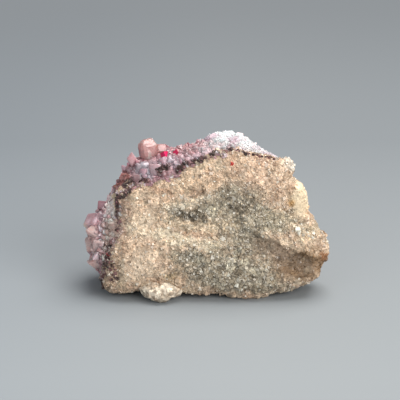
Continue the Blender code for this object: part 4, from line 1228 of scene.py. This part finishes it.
def make_grains():
    rng = np.random.default_rng(21)

    def wanted(middle):
        gx, gy, w = grid_of(middle)
        _, grit = matrix_colour(middle)
        return (0.22 + ramp(w, -0.002, 0.002)) * np.clip(grit - 0.09, 0.01, 1)

    for name, total, small, large, seed in (("matrix_grains", 13500, 0.00022, 0.00028, 22), ("matrix_lumps", 2600, 0.00042, 0.00045, 72)):
        where, normals = sample_surface(matrix_points, matrix_tris, total, seed, wanted)
        keep = where[:, 2] > 0.0012
        where, normals = where[keep], normals[keep]
        count = len(where)
        tone, grit = matrix_colour(where)
        kind = rng.random(count)
        shade = np.where(kind < 0.26, 0.5 + 0.3 * rng.random(count), 1.0 + 0.45 * rng.random(count))
        shade = 1.0 + (shade - 1.0) * (0.45 + 0.55 * grit)
        tones = tone * shade[:, None]
        bright = kind > 0.91 - 0.08 * ramp(grit, 0.7, 1.0) + 0.12 * (1 - ramp(grit, 0.25, 0.5))
        tones[bright] = tones[bright] * 0.4 + srgb(240, 232, 218) * 0.6
        size = small + large * rng.random(count) ** 1.5
        lean = unit(normals + 0.9 * rng.normal(size=(count, 3)))
        sink = 0.25 if name == "matrix_grains" else 0.38
        obj = scatter(name, PLAIN, where - normals * (size * sink)[:, None], lean, size, 0.8 + 0.7 * rng.random(count), rng.random(count) * 6.3, np.clip(tones, 0.01, 0.97), 0.25, seed + 1)
        obj.data.materials.append(GRAINS)
        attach(obj, "root")
        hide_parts("matrix")

    # the same grain on the sides, the top and what the crust leaves bare at the back
    def aside(middle):
        gx, gy, w = grid_of(middle)
        return ramp(w, 0.001, -0.002) * (middle[:, 2] > 0.0012) + 1e-9

    where, normals = sample_surface(matrix_points, matrix_tris, 16000, 172, aside)
    keep = (where[:, 2] > 0.0012) & ~inside_crust(where)
    where, normals = where[keep][:14000], normals[keep][:14000]
    count = len(where)
    tone, grit = matrix_colour(where)
    kind = rng.random(count)
    shade = np.where(kind < 0.30, 0.55 + 0.3 * rng.random(count), 1.0 + 0.35 * rng.random(count))
    tones = tone * (1.0 + (shade - 1.0) * (0.45 + 0.55 * grit))[:, None]
    tones[kind > 0.94] = tones[kind > 0.94] * 0.4 + srgb(240, 232, 218) * 0.6
    size = 0.00026 + 0.00044 * rng.random(count) ** 2.2
    lean = unit(normals + 0.9 * rng.normal(size=(count, 3)))
    obj = scatter("matrix_side_grains", PLAIN, where - normals * (size * 0.28)[:, None], lean, size, 0.8 + 0.7 * rng.random(count), rng.random(count) * 6.3, np.clip(tones, 0.01, 0.97), 0.25, 173)
    obj.data.materials.append(GRAINS)
    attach(obj, "root")
    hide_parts("matrix")

    # bright cleavage faces in the rock
    centres, directions, sizes = [], [], []
    for gx, gy, size in FLAKES:
        point, normal = first_hit(gx, gy, (matrix_tree,))
        centres.append(np.array(point) - np.array(normal) * size * 0.25)
        directions.append(np.array(normal) + 0.5 * rng.normal(size=3))
        sizes.append(size)
    count = len(centres)
    tones = np.repeat(srgb(242, 236, 220)[None], count, axis=0) * (0.85 + 0.3 * rng.random((count, 1)))
    obj = scatter("matrix_flakes", WORN, np.array(centres), np.array(directions), np.array(sizes), np.full(count, 1.0), rng.random(count) * 6.3, np.clip(tones, 0.01, 0.97), 0.2, 73)
    obj.data.materials.append(GRAINS)
    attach(obj, "root")
    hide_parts("matrix")


make_grains()


def make_seam_grains():
    rng = np.random.default_rng(31)
    centres, directions, sizes, tones = [], [], [], []
    for number, (x0, y0, x1, y1, spread, count) in enumerate(OXIDE_STREAKS):
        strong = number in STRONG_STREAKS
        for _ in range(count):
            t = rng.random()
            x, y = x0 + (x1 - x0) * t + rng.normal() * spread * 0.6, y0 + (y1 - y0) * t + rng.normal() * spread * 0.6
            point, normal = first_hit(x, y, (matrix_tree, crust_tree, cap_tree, *crystal_trees))
            if point is None:
                continue
            size = 0.00024 + 0.00040 * rng.random() ** 2
            centres.append(np.array(point) + np.array(normal) * size * 0.1)
            directions.append(np.array(normal) + rng.normal(size=3))
            sizes.append(size)
            dark = rng.random() < (0.45 if number in (2, 3) else 0.75 if strong else 0.35)
            tones.append(OXIDE * (0.7 + 1.5 * rng.random()) if dark else srgb(112, 78, 76) * (0.6 + 0.8 * rng.random()))
    count = len(centres)
    obj = scatter("oxide_seam", PLAIN, np.array(centres), np.array(directions), np.array(sizes), 0.8 + 0.6 * rng.random(count), rng.random(count) * 6.3, np.clip(np.array(tones), 0.005, 0.9), 0.3, 33)
    obj.data.materials.append(OXIDES)
    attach(obj, "root")


make_seam_grains()


# ================================================================ crystals that are nodes of their own
def finish_node(node, material, tone, name, tips=None, detail=2):
    """A finer copy of a crystal's solid, in its place."""
    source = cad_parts[node]
    bm = bmesh.new()
    bm.from_mesh(source.data)
    bm.transform(source.matrix_world)
    bmesh.ops.dissolve_limit(bm, angle_limit=math.radians(2), verts=bm.verts[:], edges=bm.edges[:])
    bmesh.ops.triangulate(bm, faces=bm.faces[:])
    for _ in range(detail):
        bmesh.ops.subdivide_edges(bm, edges=bm.edges[:], cuts=1, use_grid_fill=True)
        bmesh.ops.triangulate(bm, faces=bm.faces[:])
    bm.normal_update()
    points = np.array([v.co[:] for v in bm.verts])
    normals = np.array([v.normal[:] for v in bm.verts])
    size = np.ptp(points, axis=0).max()
    d, away, own = cells(points, size * 0.22, 81)
    out = points + normals * (size * 0.012 * (own[:, 3] - 0.5) + size * 0.006 * smooth_noise(points, size * 0.12, 83))[:, None]
    tris = np.array([[v.index for v in f.verts] for f in bm.faces])
    bm.free()
    colours = np.repeat(tone[None], len(out), axis=0) if tips is None else tips(out)
    obj = new_object(name, out, tris, None, np.clip(colours, 0.005, 0.97), 0.3 + 0 * out[:, 0])
    obj.data.shade_smooth()
    obj.data.set_sharp_from_angle(angle=math.radians(28))
    obj.data.materials.append(material)
    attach(obj, "root")
    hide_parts(node)
    return obj


def peach_tone(points):
    gx, gy, w = grid_of(points)
    tone = srgb(234, 184, 180) + 0 * points
    # painted light: a pale streak down the crystal's middle, as if light glowed through it
    tone = tone + (srgb(250, 230, 222) - tone) * (0.8 * ramp(bump(gx, gy, 150, 157, 2.5, 7), 0.3, 0.9))[:, None]
    # deeper pink at the left edge: partly its own colour, partly painted shade
    tone = tone + (srgb(208, 142, 144) - tone) * (0.7 * ramp(bump(gx, gy, 139, 152, 3, 10), 0.3, 0.9))[:, None]
    tone = tone + (srgb(232, 192, 182) - tone) * (0.5 * ramp(150 - gy, 0, 8))[:, None]
    tone = tone + (srgb(196, 140, 112) - tone) * (0.5 * ramp(bump(gx, gy, 158, 146, 3, 3), 0.3, 0.9))[:, None]
    return tone + (srgb(226, 166, 170) - tone) * (0.5 * ramp(gy, 156, 166))[:, None]


def rose_tone(points):
    gx, gy, w = grid_of(points)
    tone = srgb(176, 128, 136) + 0 * points
    tone = tone + (srgb(150, 92, 100) - tone) * (0.7 * ramp(smooth_noise(points, 0.0014, 88), -0.2, 0.4))[:, None]
    return tone + (srgb(206, 170, 176) - tone) * (0.5 * ramp(gx, 101, 108))[:, None]


def corner_tone(points):
    gx, gy, w = grid_of(points)
    tone = srgb(198, 158, 163) + 0 * points
    tone = tone + (srgb(226, 198, 206) - tone) * (0.7 * ramp(smooth_noise(points, 0.0016, 86), -0.1, 0.5))[:, None]
    return tone + (srgb(240, 222, 200) - tone) * (ramp(-gx, -90, -82) * ramp(gy, 220, 228))[:, None]


HERO = crystal("peach_calcite", 0.55, 0.12, subsurface=0.8, scale=0.6, glow=0.0050)
ROSE = crystal("rose_calcite", 0.35, 0.16, subsurface=0.4, scale=0.7, glow=0.0020)
PALE = crystal("pale_pink_calcite", 0.30, 0.18, subsurface=0.5, scale=0.7, glow=0.0025)
MAGENTA = crystal("magenta_calcite", 0.15, 0.15)
RED = crystal("red_calcite", 0.05, 0.30)
finish_node("peach_crystal", HERO, None, "peach_crystal_fine", peach_tone, 2)
finish_node("rose_crystal", ROSE, None, "rose_crystal_fine", rose_tone, 2)
finish_node("corner_crystal", PALE, None, "corner_crystal_fine", corner_tone, 2)
finish_node("magenta_crystal_large", MAGENTA, srgb(228, 30, 98), "magenta_large_fine", None, 3)
finish_node("magenta_crystal_small", MAGENTA, srgb(205, 30, 84), "magenta_small_fine", None, 3)
finish_node("red_grain_upper", RED, srgb(190, 60, 56), "red_upper_fine", None, 3)
finish_node("red_grain_left", RED, srgb(170, 50, 52), "red_left_fine", None, 3)


# ================================================================ stage, light and camera
HAZE = (0.300, 0.318, 0.334)


def make_stage():
    """A pale floor that fades into the colour of the room far away, so that no edge shows. Its colour carries painted
    falloff of light, darker towards the back, and painted shade, darker to the right and darker and bluer to the left.
    """
    size = 6.0
    bm = bmesh.new()
    bmesh.ops.create_grid(bm, x_segments=1, y_segments=1, size=size)
    mesh = bpy.data.meshes.new("floor")
    bm.to_mesh(mesh)
    bm.free()
    floor = bpy.data.objects.new("floor", mesh)
    bpy.context.scene.collection.objects.link(floor)
    k = Nodes("paper")
    k.shader.inputs["Roughness"].default_value = 0.7
    k.shader.inputs["Specular IOR Level"].default_value = 0.2
    place = k.add("TexCoord").outputs["Object"]
    along = k.add("SeparateXYZ")
    k.link(place, along.inputs[0])
    # painted falloff of light: the paper darker towards the back
    depth = k.add("MapRange")
    k.link(along.outputs["Y"], depth.inputs["Value"])
    depth.inputs["From Min"].default_value = -0.06
    depth.inputs["From Max"].default_value = 0.14
    paper = k.mix("MIX", depth.outputs["Result"], (0.330, 0.349, 0.361, 1), (0.236, 0.252, 0.265, 1))
    # painted shade: the paper a little darker to the right
    shade_to_right = k.add("MapRange")
    k.link(along.outputs["X"], shade_to_right.inputs["Value"])
    shade_to_right.inputs["From Min"].default_value = 0.0
    shade_to_right.inputs["From Max"].default_value = 0.12
    paper = k.mix("MULTIPLY", shade_to_right.outputs["Result"], paper, (0.92, 0.93, 0.935, 1))
    # painted shade: the paper darker and a little bluer to the left, the shadow side
    left = k.add("MapRange")
    k.link(along.outputs["X"], left.inputs["Value"])
    left.inputs["From Min"].default_value = 0.01
    left.inputs["From Max"].default_value = -0.07
    paper = k.mix("MULTIPLY", left.outputs["Result"], paper, (0.94, 0.96, 0.985, 1))
    k.link(paper, k.shader.inputs["Base Color"])
    away = k.add("VectorMath", operation="LENGTH")
    k.link(place, away.inputs[0])
    share = k.add("MapRange", interpolation_type="SMOOTHSTEP")
    k.link(away.outputs["Value"], share.inputs["Value"])
    share.inputs["From Min"].default_value = 0.12
    share.inputs["From Max"].default_value = 0.70
    glow = k.add("Emission")
    glow.inputs["Color"].default_value = (*HAZE, 1)
    glow.inputs["Strength"].default_value = 1.0
    both = k.add("MixShader")
    k.link(share.outputs["Result"], both.inputs[0])
    k.link(k.shader.outputs[0], both.inputs[1])
    k.link(glow.outputs[0], both.inputs[2])
    k.link(both.outputs[0], k.tree.nodes["Material Output"].inputs["Surface"])
    mesh.materials.append(k.mat)


def area_light(name, place, target, size, power, colour=(1, 1, 1)):
    data = bpy.data.lights.new(name, "AREA")
    data.shape = "DISK"
    data.size = size
    data.energy = power
    data.color = colour
    light = bpy.data.objects.new(name, data)
    light.location = place
    light.rotation_mode = "QUATERNION"
    light.rotation_quaternion = (Vector(target) - Vector(place)).to_track_quat("-Z", "Y")
    bpy.context.scene.collection.objects.link(light)


make_stage()
world = bpy.data.worlds.new("room")
bpy.context.scene.world = world
world.use_nodes = True
world.node_tree.nodes["Background"].inputs["Color"].default_value = (*HAZE, 1)
world.node_tree.nodes["Background"].inputs["Strength"].default_value = 1.0
area_light("top", (0.20, 0.14, 0.66), (0, 0, 0.02), 0.62, 5.5, (1.0, 0.985, 0.96))
area_light("side", (0.95, -0.95, 0.63), (0, 0, 0.02), 1.15, 17.0, (1.0, 0.985, 0.96))
area_light("fill", (-0.45, -0.60, 0.30), (0, 0, 0.02), 0.7, 1.2, (0.90, 0.97, 1.0))

LENS = 120.0
distance = 400 * GRID * LENS / 36.0
target = to_world(np.array([*on_grid(200, 200), 0.002]))
towards = face_vector(0, 0, 1)
data = bpy.data.cameras.new("camera")
data.lens = LENS
data.sensor_width = 36.0
data.clip_start = 0.01
data.clip_end = 20.0
camera = bpy.data.objects.new("camera", data)
camera.location = target + towards * distance
camera.rotation_mode = "QUATERNION"
camera.rotation_quaternion = Vector(-towards).to_track_quat("-Z", "Y")
bpy.context.scene.collection.objects.link(camera)
bpy.context.scene.camera = camera
bpy.context.scene.view_settings.view_transform = "Standard"
bpy.context.scene.view_settings.look = "None"

bpy.context.view_layer.update()
